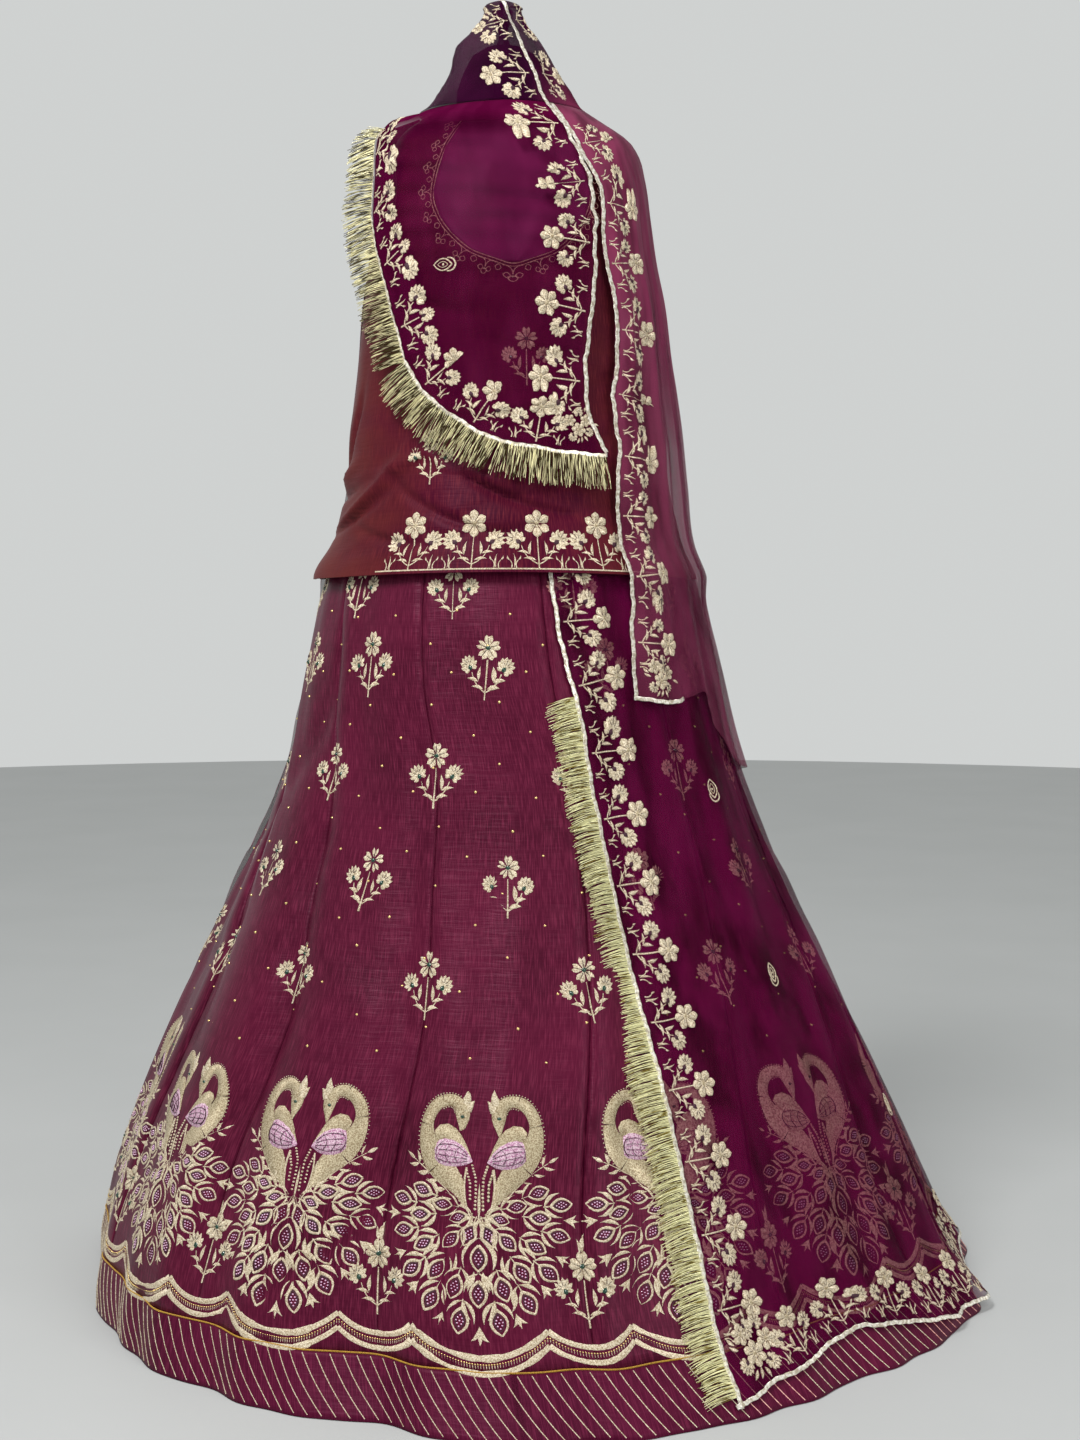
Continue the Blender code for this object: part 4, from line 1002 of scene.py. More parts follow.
def lay_alike(strokes, ground, surface, broad):
    """Points, faces, thread numbers and coordinates of strokes of one kind at every spot.

    A slim stroke is a ridge of three lines: its rims just inside the cloth and its crown at its rise. A broad
    one has a flat top between two more lines.
    """
    keys = ("line", "half", "rise", "thread")
    line, half, rise, tone = (np.array([s[key] for s in strokes]) for key in keys)
    run = unit(np.gradient(line, axis=1))
    side = np.stack([-run[..., 1], run[..., 0]], axis=-1)
    reach = np.array([-1.0, -0.86, 0.0, 0.86, 1.0]) if broad else np.array([-1.0, 0.0, 1.0])
    top = np.array([0.0, 0.85, 1.0, 0.85, 0.0]) if broad else np.array([0.0, 1.0, 0.0])
    flat = line[:, :, None, :] + side[:, :, None, :] * half[:, :, None, None] * reach[None, None, :, None]
    crown = np.clip(half / half.max(axis=1, keepdims=True), 0.25, 1.0) * rise[:, None]
    up = crown[..., None] * top - RIM_DEPTH * (top == 0.0)
    bearing, height = ground(flat[..., 0], flat[..., 1])
    spots = len(bearing)
    lift = (SILK_THICK if surface in (skirt, tunic) else VOILE_THICK) / 2
    normals = normals_of(surface, bearing, height)
    points = surface(bearing, height, lift) + normals * up[None, ..., None]
    rows, columns = line.shape[1], len(reach)
    quads = grid_faces(rows, columns)
    count = spots * len(strokes)
    faces = ((np.arange(count) * rows * columns)[:, None, None] + quads[None]).reshape(-1, 4)
    flat_points = points.reshape(-1, 3)
    diagonal = flat_points[faces[:, 2]] - flat_points[faces[:, 0]]
    other = flat_points[faces[:, 3]] - flat_points[faces[:, 1]]
    facing = np.sum(np.cross(diagonal, other) * normals.reshape(-1, 3)[faces[:, 0]], axis=1)
    faces = np.where(facing[:, None] < 0.0, faces[:, ::-1], faces)
    tones = np.tile(tone, (spots, 1))
    if surface is skirt:
        middle = (slice(None), slice(None), rows // 2, columns // 2)
        tones = np.where(under_veil(bearing[middle], height[middle]) & (tones <= LILAC), RUST, tones)
    paint = np.repeat(tones.ravel(), len(quads))
    steps = np.linalg.norm(np.diff(line, axis=1), axis=-1)
    lengths = np.concatenate([np.zeros((len(line), 1)), np.cumsum(steps, axis=1)], axis=1)
    uv = np.stack([half[:, :, None] * reach, np.repeat(lengths[:, :, None], columns, axis=2)], axis=-1)
    uv = np.broadcast_to(uv[None], (spots, *uv.shape))
    return dict(points=flat_points, faces=faces, paint=paint, uv=uv.reshape(-1, 2))


def embroidery(name, layers, paints):
    """One joined mesh from several laid motifs, given as lists of layers."""
    layers = [layer for group in layers for layer in group]
    shifts = np.cumsum([0] + [len(layer["points"]) for layer in layers])
    faces = np.concatenate([layer["faces"] + shift for layer, shift in zip(layers, shifts)])
    keys = ("points", "paint", "uv")
    points, paint, uv = (np.concatenate([layer[key] for layer in layers]) for key in keys)
    add_mesh(name, points, faces, paints["threads"], uv, paint)


# Materials

def give(tree, node, values):
    """Fill a node's inputs: a socket is linked, a colour gets an alpha of one, a number is set as it is."""
    for key, value in values.items():
        socket = node.inputs[key]
        if isinstance(value, bpy.types.NodeSocket):
            tree.links.new(value, socket)
        elif socket.type == "RGBA":
            socket.default_value = (*value, 1.0)
        else:
            socket.default_value = value


def add_node(tree, kind, output, values, **settings):
    """New node of a kind with its settings and inputs; gives back the output asked for."""
    node = tree.nodes.new("ShaderNode" + kind)
    for key, value in settings.items():
        setattr(node, key, value)
    give(tree, node, values)
    return node.outputs[output]


def new_material(name, colour, roughness, metallic=0.0):
    """New material, with its node tree, its shader, and its Object and UV coordinates."""
    made = bpy.data.materials.new(name)
    made.use_nodes = True
    made.diffuse_color = (*colour, 1.0)
    tree = made.node_tree
    shader = tree.nodes["Principled BSDF"]
    give(tree, shader, {"Base Color": colour, "Roughness": roughness, "Metallic": metallic})
    coords = tree.nodes.new("ShaderNodeTexCoord")
    return made, tree, shader, coords.outputs["Object"], coords.outputs["UV"]


def ramp(tree, value, low, high, edges=(0.3, 0.7)):
    """Colour that runs from one to another as a value goes from the first edge to the second."""
    node = tree.nodes.new("ShaderNodeValToRGB")
    for element, position, colour in zip(node.color_ramp.elements, edges, (low, high)):
        element.position = position
        element.color = (*colour, 1.0)
    tree.links.new(value, node.inputs["Fac"])
    return node.outputs["Color"]


def noise(tree, coords, scale, detail=3.0, stretch=(1.0, 1.0, 1.0), distortion=0.0, kind="FBM"):
    """Noise of a given scale on given coordinates, stretched along an axis."""
    vector = add_node(tree, "Mapping", "Vector", {"Vector": coords, "Scale": stretch})
    values = {"Vector": vector, "Scale": scale, "Detail": detail, "Distortion": distortion}
    return add_node(tree, "TexNoise", "Fac", values, noise_type=kind)


def waves(tree, coords, direction, scale, distortion=0.0):
    """Even ridges along one direction of given coordinates."""
    values = {"Vector": coords, "Scale": scale, "Distortion": distortion}
    return add_node(tree, "TexWave", "Fac", values, bands_direction=direction)


def bump(tree, height, strength, distance, under=None):
    """Bump from a height, over another bump where one is given."""
    values = {"Height": height, "Strength": strength, "Distance": distance}
    if under is not None:
        values["Normal"] = under
    return add_node(tree, "Bump", "Normal", values)


def mixed(tree, share, first, second):
    """Colour between two, by a share."""
    return add_node(tree, "Mix", 2, {0: share, 6: first, 7: second}, data_type="RGBA")


def ranged(tree, value, before, after=(0.0, 1.0)):
    """Value carried from one range to another and held at its ends."""
    keys = ("Value", "From Min", "From Max", "To Min", "To Max")
    return add_node(tree, "MapRange", "Result", dict(zip(keys, (value, *before, *after))))


def maths(tree, operation, *values):
    """One operation on sockets or numbers."""
    return add_node(tree, "Math", "Value", dict(enumerate(values)), operation=operation)


def axes(tree, place):
    """X, Y and Z of a place."""
    apart = tree.nodes.new("ShaderNodeSeparateXYZ")
    tree.links.new(place, apart.inputs["Vector"])
    return apart.outputs


def parts_of(made):
    """A cloth's node tree, shader, Object coordinates and colour so far."""
    tree = made.node_tree
    shader = tree.nodes["Principled BSDF"]
    place = tree.nodes.new("ShaderNodeTexCoord").outputs["Object"]
    return tree, shader, place, shader.inputs["Base Color"].links[0].from_socket


def woven(name, dark, light, accent, roughness, gloss=0.0, ribbed=True, alpha=1.0, patch=9.0, crumple=0.002,
          dense=None, flow=(1.0, 1.0, 1.0), edges=(0.3, 0.7)):
    """Cloth: patchy shade between two colours, fine slubs of an accent along the warp, and a crumpled bump.

    Ribbed cloth has its warp and weft under the crumple. The veil has an alpha below one, and is denser where
    its folds crowd: dense gives two heights and the alpha that it reaches at the second. Flow draws the shade
    out into streaks, and edges sharpen them. On the voiles the streaks are partly the voile's denser lines
    where it lies over itself, and partly painted shade and highlights of its folds.
    """
    made, tree, shader, place, cloth = new_material(name, light, roughness)
    # on the voiles flow stretches this into streaks: partly denser lines of the voile, partly painted fold
    # shade and highlights
    shade = ramp(tree, noise(tree, place, patch, 4.0, flow), dark, light, edges)
    slub = noise(tree, cloth, 1.0, 2.0, (900.0, 45.0, 1.0) if ribbed else (24.0, 9.0, 1.0))
    crinkle = noise(tree, cloth, 9.0, 3.0, (1.0, 1.3, 1.0), 0.9, "RIDGED_MULTIFRACTAL")
    give(tree, shader, {
        "Base Color": mixed(tree, ramp(tree, slub, BLACK, WHITE, (0.45, 0.75)), shade, accent),
        "Normal": bump(tree, crinkle, 0.7, crumple, ribs(tree, cloth) if ribbed else None),
        "Alpha": alpha, "Specular IOR Level": gloss, "Specular Tint": (1.0, 0.45, 0.62),
        "Sheen Weight": 0.02, "Sheen Roughness": 0.4, "Sheen Tint": accent,
    })
    if dense:
        height = axes(tree, place)["Z"]
        give(tree, shader, {"Alpha": ranged(tree, height, dense[:2], (alpha, dense[2]))})
    return made


def ribs(tree, cloth):
    """Crossed fine ridges of warp and weft, and uneven weft slubs over them."""
    warp, weft = [waves(tree, cloth, direction, 0.32 / WEAVE) for direction in "XY"]
    fine = bump(tree, maths(tree, "MULTIPLY", warp, weft), 0.12, 0.0002)
    return bump(tree, noise(tree, cloth, 1.0, 3.0, (26.0, 230.0, 1.0)), 0.5, 0.0011, fine)


def thread(name, colour, deep, roughness, metallic, grain=900.0, strands=False, edges=(0.38, 0.60)):
    """Metal or silk thread: two tones in fine grains, or strand by strand, and stitches across the stroke.
    Strand by strand, the light strands are painted glints and the dark ones painted shade between strands.
    """
    made, tree, shader, place, cloth = new_material(name, colour, roughness, metallic)
    # strand by strand: light strands are painted glints, dark strands painted shade between them
    if strands:
        grains = noise(tree, cloth, 1.0, 1.0, (1500.0, 40.0, 1.0))
    else:
        grains = noise(tree, place, grain, 2.0)
    stitches = bump(tree, waves(tree, cloth, "Y", 700.0, 1.5), 0.6, 0.0003)
    give(tree, shader, {"Base Color": ramp(tree, grains, deep, colour, edges), "Normal": stitches})
    return made


def plain(name, colour, roughness, metallic=0.0, coat=0.0):
    """Smooth finish with a faint mottle."""
    made, tree, shader, place, _ = new_material(name, colour, roughness, metallic)
    mottle = ramp(tree, noise(tree, place, 120.0), tuple(0.8 * c for c in colour), colour)
    give(tree, shader, {"Base Color": mottle, "Coat Weight": coat})
    return made


def shot_silk_painted_sheen():
    """Tunic silk: plum in the middle of the front, copper towards the sides, in soft streaks. The copper is
    painted sheen: shot silk's change of colour with the angle of view, laid on by distance from the middle.
    """
    made = woven("tunic_shot_silk", (0.034, 0.0018, 0.010), (0.062, 0.0034, 0.016), (0.112, 0.013, 0.022),
                 0.42, 0.06, crumple=0.007)
    tree, shader, place, before = parts_of(made)
    # painted sheen: copper mixed in by distance from the front's middle line, in streaks, in place of shot
    # silk's shift of colour with the view
    reach = maths(tree, "ABSOLUTE", axes(tree, place)["X"])
    painted_sheen_streaks = maths(tree, "MULTIPLY_ADD", noise(tree, place, 14.0, 4.0, (1.0, 1.0, 2.2)), 0.16, reach)
    share = ramp(tree, painted_sheen_streaks, BLACK, (0.8, 0.8, 0.8), (0.16, 0.30))
    give(tree, shader, {"Base Color": mixed(tree, share, before, (0.106, 0.0165, 0.0125))})
    return made


def hood_voile():
    """Voile over the head: dark and sheer, and as the shoulders' voile low at its right and its back."""
    alpha = 0.54
    # streaked by flow: painted shade and highlights of the hood's folds, over the voile's denser lines
    made = woven("veil_voile_hood", (0.020, 0.0008, 0.012), (0.036, 0.0018, 0.022), (0.054, 0.005, 0.030),
                 0.60, ribbed=False, alpha=alpha, patch=8.0, crumple=0.004, flow=(2.0, 2.0, 0.7),
                 edges=(0.38, 0.62))
    tree, shader, place, before = parts_of(made)
    x, y, z = axes(tree, place)
    beside = maths(tree, "MAXIMUM", ranged(tree, x, (0.030, 0.075)), ranged(tree, y, (0.0, 0.050)))
    share = maths(tree, "MULTIPLY", beside, ranged(tree, z, (1.430, 1.500), (1.0, 0.0)))
    give(tree, shader, {"Base Color": mixed(tree, share, before, (0.145, 0.020, 0.054)),
                        "Alpha": ranged(tree, share, (0.0, 1.0), (alpha, 0.86))})
    return made


def make_materials():
    """All the part's materials by name."""
    paints = dict(
        skirt=woven("skirt_silk", (0.042, 0.0018, 0.011), (0.078, 0.0038, 0.021), (0.134, 0.014, 0.040),
                    0.38, 0.16, crumple=0.003),
        band=woven("band_silk", (0.045, 0.0018, 0.013), (0.076, 0.0038, 0.023), (0.125, 0.012, 0.040),
                   0.42, 0.12),
        tunic=shot_silk_painted_sheen(),
        yoke=woven("tunic_yoke_silk", (0.120, 0.008, 0.052), (0.200, 0.020, 0.098), (0.240, 0.030, 0.120),
                   0.45, 0.12, ribbed=False, crumple=0.004),
        hood=hood_voile(),
        # streaked by flow: painted shade and highlights of the fall's and back's folds, over the voile's
        # denser lines
        veil=woven("veil_voile", (0.088, 0.0090, 0.030), (0.200, 0.0290, 0.076), (0.210, 0.040, 0.086),
                   0.52, 0.10, ribbed=False, alpha=0.42, crumple=0.004, dense=(1.02, 1.20, 0.86),
                   flow=(3.2, 3.2, 0.35), edges=(0.40, 0.60)),
        # streaked by flow: painted shade and highlights of the folds over the skirt, over the voile's denser
        # lines
        tucked=woven("veil_voile_skirt", (0.036, 0.0006, 0.012), (0.104, 0.0016, 0.036),
                     (0.125, 0.004, 0.046), 0.55, ribbed=False, alpha=0.36, crumple=0.005,
                     flow=(3.2, 3.2, 0.30), edges=(0.40, 0.60)),
        double=woven("veil_voile_double", (0.048, 0.0012, 0.016), (0.078, 0.0026, 0.028),
                     (0.100, 0.006, 0.038), 0.60, ribbed=False, alpha=0.92, patch=6.0),
        sheer=woven("veil_voile_thin", (0.052, 0.0008, 0.017), (0.085, 0.0022, 0.029), (0.110, 0.005, 0.040),
                    0.55, ribbed=False, alpha=0.34, patch=6.0, crumple=0.004, dense=(1.400, 1.415, 0.92)),
        gota=thread("gota_ribbon", (0.90, 0.86, 0.76), (0.50, 0.43, 0.32), 0.30, 0.60, 260.0),
        # tinsel: its bright and near-black strands are painted glints and painted shade
        tinsel=thread("fringe_tinsel", (1.0, 0.93, 0.55), (0.060, 0.040, 0.006), 0.22, 0.30,
                      strands=True, edges=(0.46, 0.54)),
        # the same tinsel painted lighter: painted light for the fringe on the skirt, which the lamps light
        # less
        tinsel_painted_light=thread("fringe_tinsel_bright", (1.0, 0.96, 0.56), (0.34, 0.26, 0.05), 0.20, 0.10,
                             strands=True, edges=(0.36, 0.44)),
        piping=thread("piping_yellow", (0.62, 0.36, 0.04), (0.40, 0.20, 0.02), 0.5, 0.1),
        velvet=plain("form_velvet", (0.010, 0.010, 0.012), 0.85),
        metal=plain("form_paint", (0.030, 0.030, 0.034), 0.35, 0.2, 0.4),
    )
    paints["threads"] = [
        thread("zari_pale", (0.80, 0.70, 0.52), (0.40, 0.30, 0.18), 0.42, 0.25, 700.0),
        thread("zari_antique", (0.62, 0.53, 0.35), (0.27, 0.19, 0.10), 0.42, 0.30, 760.0),
        thread("silk_lilac", (0.78, 0.58, 0.66), (0.36, 0.10, 0.24), 0.5, 0.0, 700.0),
        plain("bead_magenta", (0.86, 0.52, 0.74), 0.25, 0.0, 0.6),
        plain("stone_green", (0.001, 0.038, 0.018), 0.12, 0.0, 0.4),
        thread("silk_rust", (0.95, 0.52, 0.44), (0.48, 0.18, 0.16), 0.5, 0.1, 480.0),
        plain("bead_gold", (0.85, 0.62, 0.25), 0.25, 0.7),
        plain("thread_dark", (0.040, 0.003, 0.014), 0.7),
    ]
    return paints


# Pieces of the skirt

def build_skirt(paints):
    """The gores, each a shell from the waist to the hem band, and the band quilted on under them."""
    down = np.linspace(SKIRT_TOP, BAND_HEIGHT + SEAM, 84)
    even = np.linspace(0.0, 1.0, 17)
    across = even - 0.10 * np.sin(2.0 * math.pi * even)
    for gore in range(GORES):
        left = FIRST_GORE + (gore - GORES // 2 - 0.5) * GORE_PITCH
        lattice, height = np.meshgrid(left + across * GORE_PITCH, down)
        bearing = gore_bearing(lattice, height)
        half_gap = np.degrees(SEAM / 2 / np.maximum(profile(height, SKIRT, "back"), 0.05))
        bearing[:, 0] += half_gap[:, 0]
        bearing[:, -1] -= half_gap[:, -1]
        node = f"gore_{gore + 1:02d}"
        piece = shell(f"{node}_cloth", skirt, bearing, height, SILK_THICK, paints["skirt"], "skirt_silk")
        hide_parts(node)
    turn = np.linspace(0.0, 360.0, 480, endpoint=False)
    bearing, height = np.meshgrid(turn, np.linspace(BAND_HEIGHT, HEM_CLEARANCE, 12))
    piece = shell("hem_band_cloth", skirt, bearing, height, SILK_THICK, paints["band"], "band_silk",
                  ring=True)
    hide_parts(*[f"hem_band_{number + 1:02d}" for number in range(GORES)])


def gore_widths(lattice, height):
    """Width in metres of the gore at each of some gore lines, at one height."""
    left = skirt(gore_bearing(lattice - GORE_PITCH / 2, height), height)
    right = skirt(gore_bearing(lattice + GORE_PITCH / 2, height), height)
    return np.linalg.norm(right - left, axis=-1)


def drifted(lattice):
    """Gore lines of the motifs near the hem, which sit a little further back on the right side."""
    return lattice + np.interp(lattice, (20.5, 44.5, 68.5, 92.5, 140.5), (0.0, 2.5, 5.0, 4.0, 0.0))


def build_skirt_embroidery(paints):
    """Flower motifs, loose beads, bird pairs and hem lines on the skirt."""
    rng = np.random.default_rng(4)
    layers = []
    for height, lattice in zip(BUTA_ROWS["height"], BUTA_ROWS["lattice"]):
        line = GORE_MIDDLES + lattice - FIRST_GORE
        room = np.clip(gore_widths(line, height) / BUTA_ROOM, 0.60, 1.0)
        ground = patch_ground(skirt, gore_bearing(line, height), height - BUTA_FOOT,
                              rng.uniform(-5.0, 5.0, GORES), rng.uniform(0.95, 1.05, GORES) * room)
        layers.append(lay(skirt_buta(), ground, skirt))
    wide = gore_widths(GORE_MIDDLES, PAIR_HEIGHT)
    share = np.clip(1.18 * wide / wide.max(), 0.70, 1.0)
    between = gore_bearing(drifted(GORE_MIDDLES + GORE_PITCH / 2), 0.090)
    ground = patch_ground(skirt, between, 0.093, rng.uniform(-3.0, 3.0, GORES), 0.95 * share)
    layers.append(lay(base_buta(), ground, skirt))
    rows = np.arange(0.345, 0.850, 0.034)
    lattice, height = np.meshgrid(np.arange(2 * GORES) * GORE_PITCH / 2, rows)
    lattice = lattice + (np.arange(len(rows)) % 2)[:, None] * GORE_PITCH / 4 + 3.0
    lattice = lattice + rng.uniform(-1.5, 1.5, lattice.shape)
    height = height + rng.uniform(-0.006, 0.006, height.shape)
    ground = patch_ground(skirt, gore_bearing(lattice, height), height)
    layers.append(lay([disc((0.0, 0.0), 0.0017, GOLD, 0.0018)], ground, skirt))
    embroidery("skirt_butas", layers, paints)

    pairs = gore_bearing(drifted(GORE_MIDDLES), PAIR_HEIGHT)
    ground = patch_ground(skirt, pairs, PAIR_FOOT + (PAIR_HEIGHT - PAIR_FOOT) * share, 0.0, 0.99 * share)
    birds = bird_body() + mirrored(bird_body())
    for name, strokes in (("skirt_birds", birds), ("skirt_bird_tails", shared_tail())):
        embroidery(name, [lay(moved(strokes, (0.0, -PAIR_DROP)), ground, skirt)], paints)
    build_hem_lines(paints)


def build_hem_lines(paints):
    """Scalloped double band with beads between, and the slanting lines of the hem band.

    A scallop hangs from its cusps by its sag, times one less a power of the distance from its middle.
    """
    layers = []
    wide, narrow = 0.62 * GORE_WIDTH, 0.38 * GORE_WIDTH
    for start, span, sag in ((-0.5 * wide, wide, 0.023), (0.5 * wide, narrow, 0.016)):
        def place(share):
            """Point of the band's centre at a share of the scallop."""
            return start + span * share, -sag * (1.0 - np.abs(2.0 * share - 1.0) ** 2.2)

        share = np.linspace(0.0, 1.0, 3 * (STATIONS - 1) + 1)
        for drop, half in ((0.0, 0.0034), (-0.0132, 0.0033)):
            line = np.stack(place(share), axis=1) + np.array([0.0, drop])
            layers.append(lay_band(end_to_end(line, np.full(len(line), half), PALE, 0.0012)))
        count = int(span / TICK_PITCH)
        ticks = []
        for x, y in zip(*place((np.arange(count) + 0.5) / count)):
            ticks.append(disc((x, y - 0.0053), 0.0009, GOLD, 0.0012))
            ticks.append(stem((x, y - 0.0064), (x, y - 0.0088), 0.0005))
        layers.append(lay_band(ticks))
    lines = []
    for k in range(HEM_LINES):
        x = GORE_WIDTH * ((k + 0.5) / HEM_LINES - 0.5)
        top, low = (x - 0.015, 0.0545 - CUSP_HEIGHT), (x + 0.015, 0.0030 - CUSP_HEIGHT)
        lines.append(even_line(top, low, 0.00075, PALE, 0.0007, -0.03))
    layers.append(lay_band(lines))
    embroidery("skirt_hem_lines", layers, paints)


def lay_band(strokes):
    """Strokes in metres from a gore's middle and from the cusps' height, on every gore."""
    def ground(x, y):
        """Bearing and height on every gore."""
        middles = per_spot(GORE_MIDDLES, x)
        height = np.clip(CUSP_HEIGHT + y, 0.002, 0.4) + 0.0 * middles
        return gore_bearing(middles + x / GORE_WIDTH * GORE_PITCH, height), height

    return lay(strokes, ground, skirt)


def build_piping(paints):
    """Thin yellow cord over the seam of the hem band: a six-sided ring carried round the skirt."""
    sides, stations, radius = 6, 480, 0.0011
    turn = np.linspace(-180.0, 180.0, stations, endpoint=False)
    height = np.full(stations, BAND_HEIGHT)
    line = skirt(turn, height, SILK_THICK / 2 + 0.0002)
    normals = normals_of(skirt, turn, height)
    upward = np.array([0.0, 0.0, 1.0])
    rings = np.linspace(0.0, 2.0 * math.pi, sides, endpoint=False)
    cosine, sine = np.cos(rings)[:, None, None], np.sin(rings)[:, None, None]
    tube = line[None] + radius * (normals[None] * cosine + upward * sine)
    faces = grid_faces(sides + 1, stations, True) % (sides * stations)
    uv = np.stack(np.meshgrid(turn * 0.009, rings * 0.001), axis=-1)
    add_mesh("hem_piping", tube, faces[:, ::-1], [paints["piping"]], uv)


def build_waistband(paints):
    """Stitched band that the gores hang from."""
    turn = np.linspace(0.0, 360.0, 96, endpoint=False)
    bearing, height = np.meshgrid(turn, np.linspace(WAISTBAND["top"], WAISTBAND["foot"], 8))

    def band(b, z, lift=0.0):
        """Point on the waistband: a level oval close round the form."""
        angle = np.radians(b)
        side = WAISTBAND["side"] + lift
        depth = np.where(np.cos(angle) > 0, WAISTBAND["front"], WAISTBAND["back"]) + lift
        return np.stack([side * np.sin(angle), -depth * np.cos(angle), z + 0.0 * angle], axis=-1)

    piece = shell("waistband_cloth", band, bearing, height, WAISTBAND["thick"], paints["skirt"], "skirt_silk",
                  ring=True)
    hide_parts("waistband")


# Pieces of the tunic

def armhole(height):
    """Half angle by which a tunic panel stops short of the side: a sine's hump from armpit to shoulder."""
    rise = np.clip((height - ARMPIT) / (SHOULDER_POINT - ARMPIT), 0.0, 1.0)
    return ARMHOLE_HALF * np.sin(math.pi * rise) ** 0.7


def tunic_hem_height(bearing):
    """Height of the tunic's hem: a squared cosine of the bearing, lowest at the sides."""
    return TUNIC_HEM + 0.008 * np.cos(np.radians(bearing)) ** 2


def build_tunic(paints):
    """Front and back panels of the tunic, with neck, armholes and hem open."""
    gap = np.degrees(SEAM / 2 / 0.10)
    drops = 1.0 - (1.0 - np.linspace(0.0, 1.0, 85)) ** 1.7
    panels = (("tunic_front", 0.0, (0.66, 0.60), 121), ("tunic_back", 180.0, (0.64, 0.60), 81))
    for name, middle, flat, columns in panels:
        share, drop = np.meshgrid(np.linspace(-1.0, 1.0, columns), drops)
        level = TUNIC_TOP + (TUNIC_HEM - TUNIC_TOP) * drop
        bearing = middle + share * (90.0 - gap - armhole(level))
        height = TUNIC_TOP + (tunic_hem_height(bearing) - TUNIC_TOP) * drop
        piece = shell(f"{name}_cloth", tunic, bearing, height, SILK_THICK, paints["tunic"], "tunic_silk")
        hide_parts(name)


def front_and_back(track, stations, front):
    """Those stations of the tunic's hem that lie at the front, within a bearing, or at the back."""
    places = np.abs(np.interp(stations, track["length"], track["bearing"]))
    return stations[(places < front) | (places > 136.0)]


def build_tunic_embroidery(paints):
    """Hem border, neckline of loops and scattered flower motifs on the tunic."""
    hem = np.linspace(-176.0, 176.0, 353)
    track = edge_track(tunic, hem, tunic_hem_height(hem) + 0.004, 1.0)
    start = np.interp(9.8, track["bearing"], track["length"])
    stations = front_and_back(track, start + np.arange(-8, 9) * TUNIC_BORDER_PITCH, 46.0)
    joins = front_and_back(track, np.arange(0.02, track["length"][-1] - 0.05, TUNIC_LINE_PITCH), 45.0)
    run = even_line((0.0, 0.0), (TUNIC_LINE_PITCH, 0.0), 0.0012, PALE, 0.0009)
    layers = [lay(border_unit(), edge_ground(track, stations), tunic),
              lay([run], edge_ground(track, joins), tunic)]
    tinted = [dict(s, thread=RUST) if s["thread"] <= ANTIQUE else s for s in skirt_buta()]
    spots = ((skirt_buta(), (-26.2,), (0.970,)),
             (tinted, (7.5, 150.0, 205.0, 178.0), (1.086, 1.080, 1.080, 1.260)))
    for strokes, bearing, height in spots:
        layers.append(lay(strokes, patch_ground(tunic, bearing, height, size=0.92), tunic))
    embroidery("tunic_embroidery", layers + neckline(), paints)


def neckline():
    """Twin line round the neck with curled loops and small trefoils outside it."""
    steps = np.arange(len(NECKLINE["bearing"]))
    reach = np.linspace(0.0, len(steps) - 1.0, 120)
    places = [hermite(steps, NECKLINE[key], reach) for key in ("bearing", "height")]
    track = edge_track(tunic, *places, -1.0)
    total = track["length"][-1]
    lines = [even_line((0.0, 0.0), (0.020, 0.0), 0.0009, RUST, 0.0007),
             even_line((0.0, 0.0035), (0.020, 0.0035), 0.0006, RUST, 0.0006)]
    loops = [stem((side * 0.011, 0.004), (0.0, 0.013), 0.0007, side * 0.30, RUST) for side in (-1.0, 1.0)]
    curls = ((0.0, 0.018, 0.0034), (-0.0048, 0.0145, 0.0030), (0.0048, 0.0145, 0.0030),
             (0.015, 0.0085, 0.0036))
    for x, y, radius in curls:
        loops += [stem((x - radius, y), (x + radius, y), 0.0006, bow, RUST) for bow in (0.48, -0.48)]
    loops.append(disc((0.0, 0.0155), 0.0010, PALE, 0.0012))
    return [lay(lines, edge_ground(track, np.arange(0.0, total - 0.02, 0.020)), tunic),
            lay(loops, edge_ground(track, np.arange(0.012, total - 0.012, 0.0300)), tunic)]


def build_yoke(paints):
    """Lighter plum cloth inside the neckline's embroidery."""
    bearing, height = NECKLINE["bearing"], NECKLINE["height"]
    low = height.index(min(height))
    level = np.linspace(height[0], height[low] + 0.002, 60)
    start = np.interp(-level, -np.array(height[:low + 1]), bearing[:low + 1])
    end = np.interp(level, height[low:], bearing[low:])
    across = np.linspace(0.0, 1.0, 41)[None, :]
    places = start[:, None] + (end - start)[:, None] * across

    def over(b, z, lift=0.0):
        """Point just over the tunic."""
        return tunic(b, z, lift + 0.0012)

    levels = level[:, None] + 0.0 * across
    piece = shell("tunic_yoke", over, places, levels, 0.0005, paints["yoke"], "tunic_silk")


# Pieces of the veil

def resampled(table, count, flip=False):
    """Evenly spaced bearings and heights along an edge table, or along the table turned round."""
    step = -1 if flip else 1
    bearing = np.array(table["bearing"])[::step] * METRES_PER_DEGREE
    height = np.array(table["height"])[::step]
    length = np.r_[0.0, np.cumsum(np.hypot(np.diff(bearing), np.diff(height)))]
    at = np.linspace(0.0, length[-1], count)
    return np.interp(at, length, bearing) / METRES_PER_DEGREE, np.interp(at, length, height)


def hood_grid():
    """Bearings and heights over the head, from the slit round to the front edge, closer at the peak."""
    down = VEIL_TOP - (VEIL_TOP - VEIL_SPLIT - VEIL_GAP) * np.linspace(0.0, 1.0, 51) ** 1.2
    share, height = np.meshgrid(np.linspace(0.0, 1.0, 101), down)
    return straight(height, HOOD_EDGE, "height", "bearing") - (1.0 - share) * (360.0 - HOOD_SLIT), height


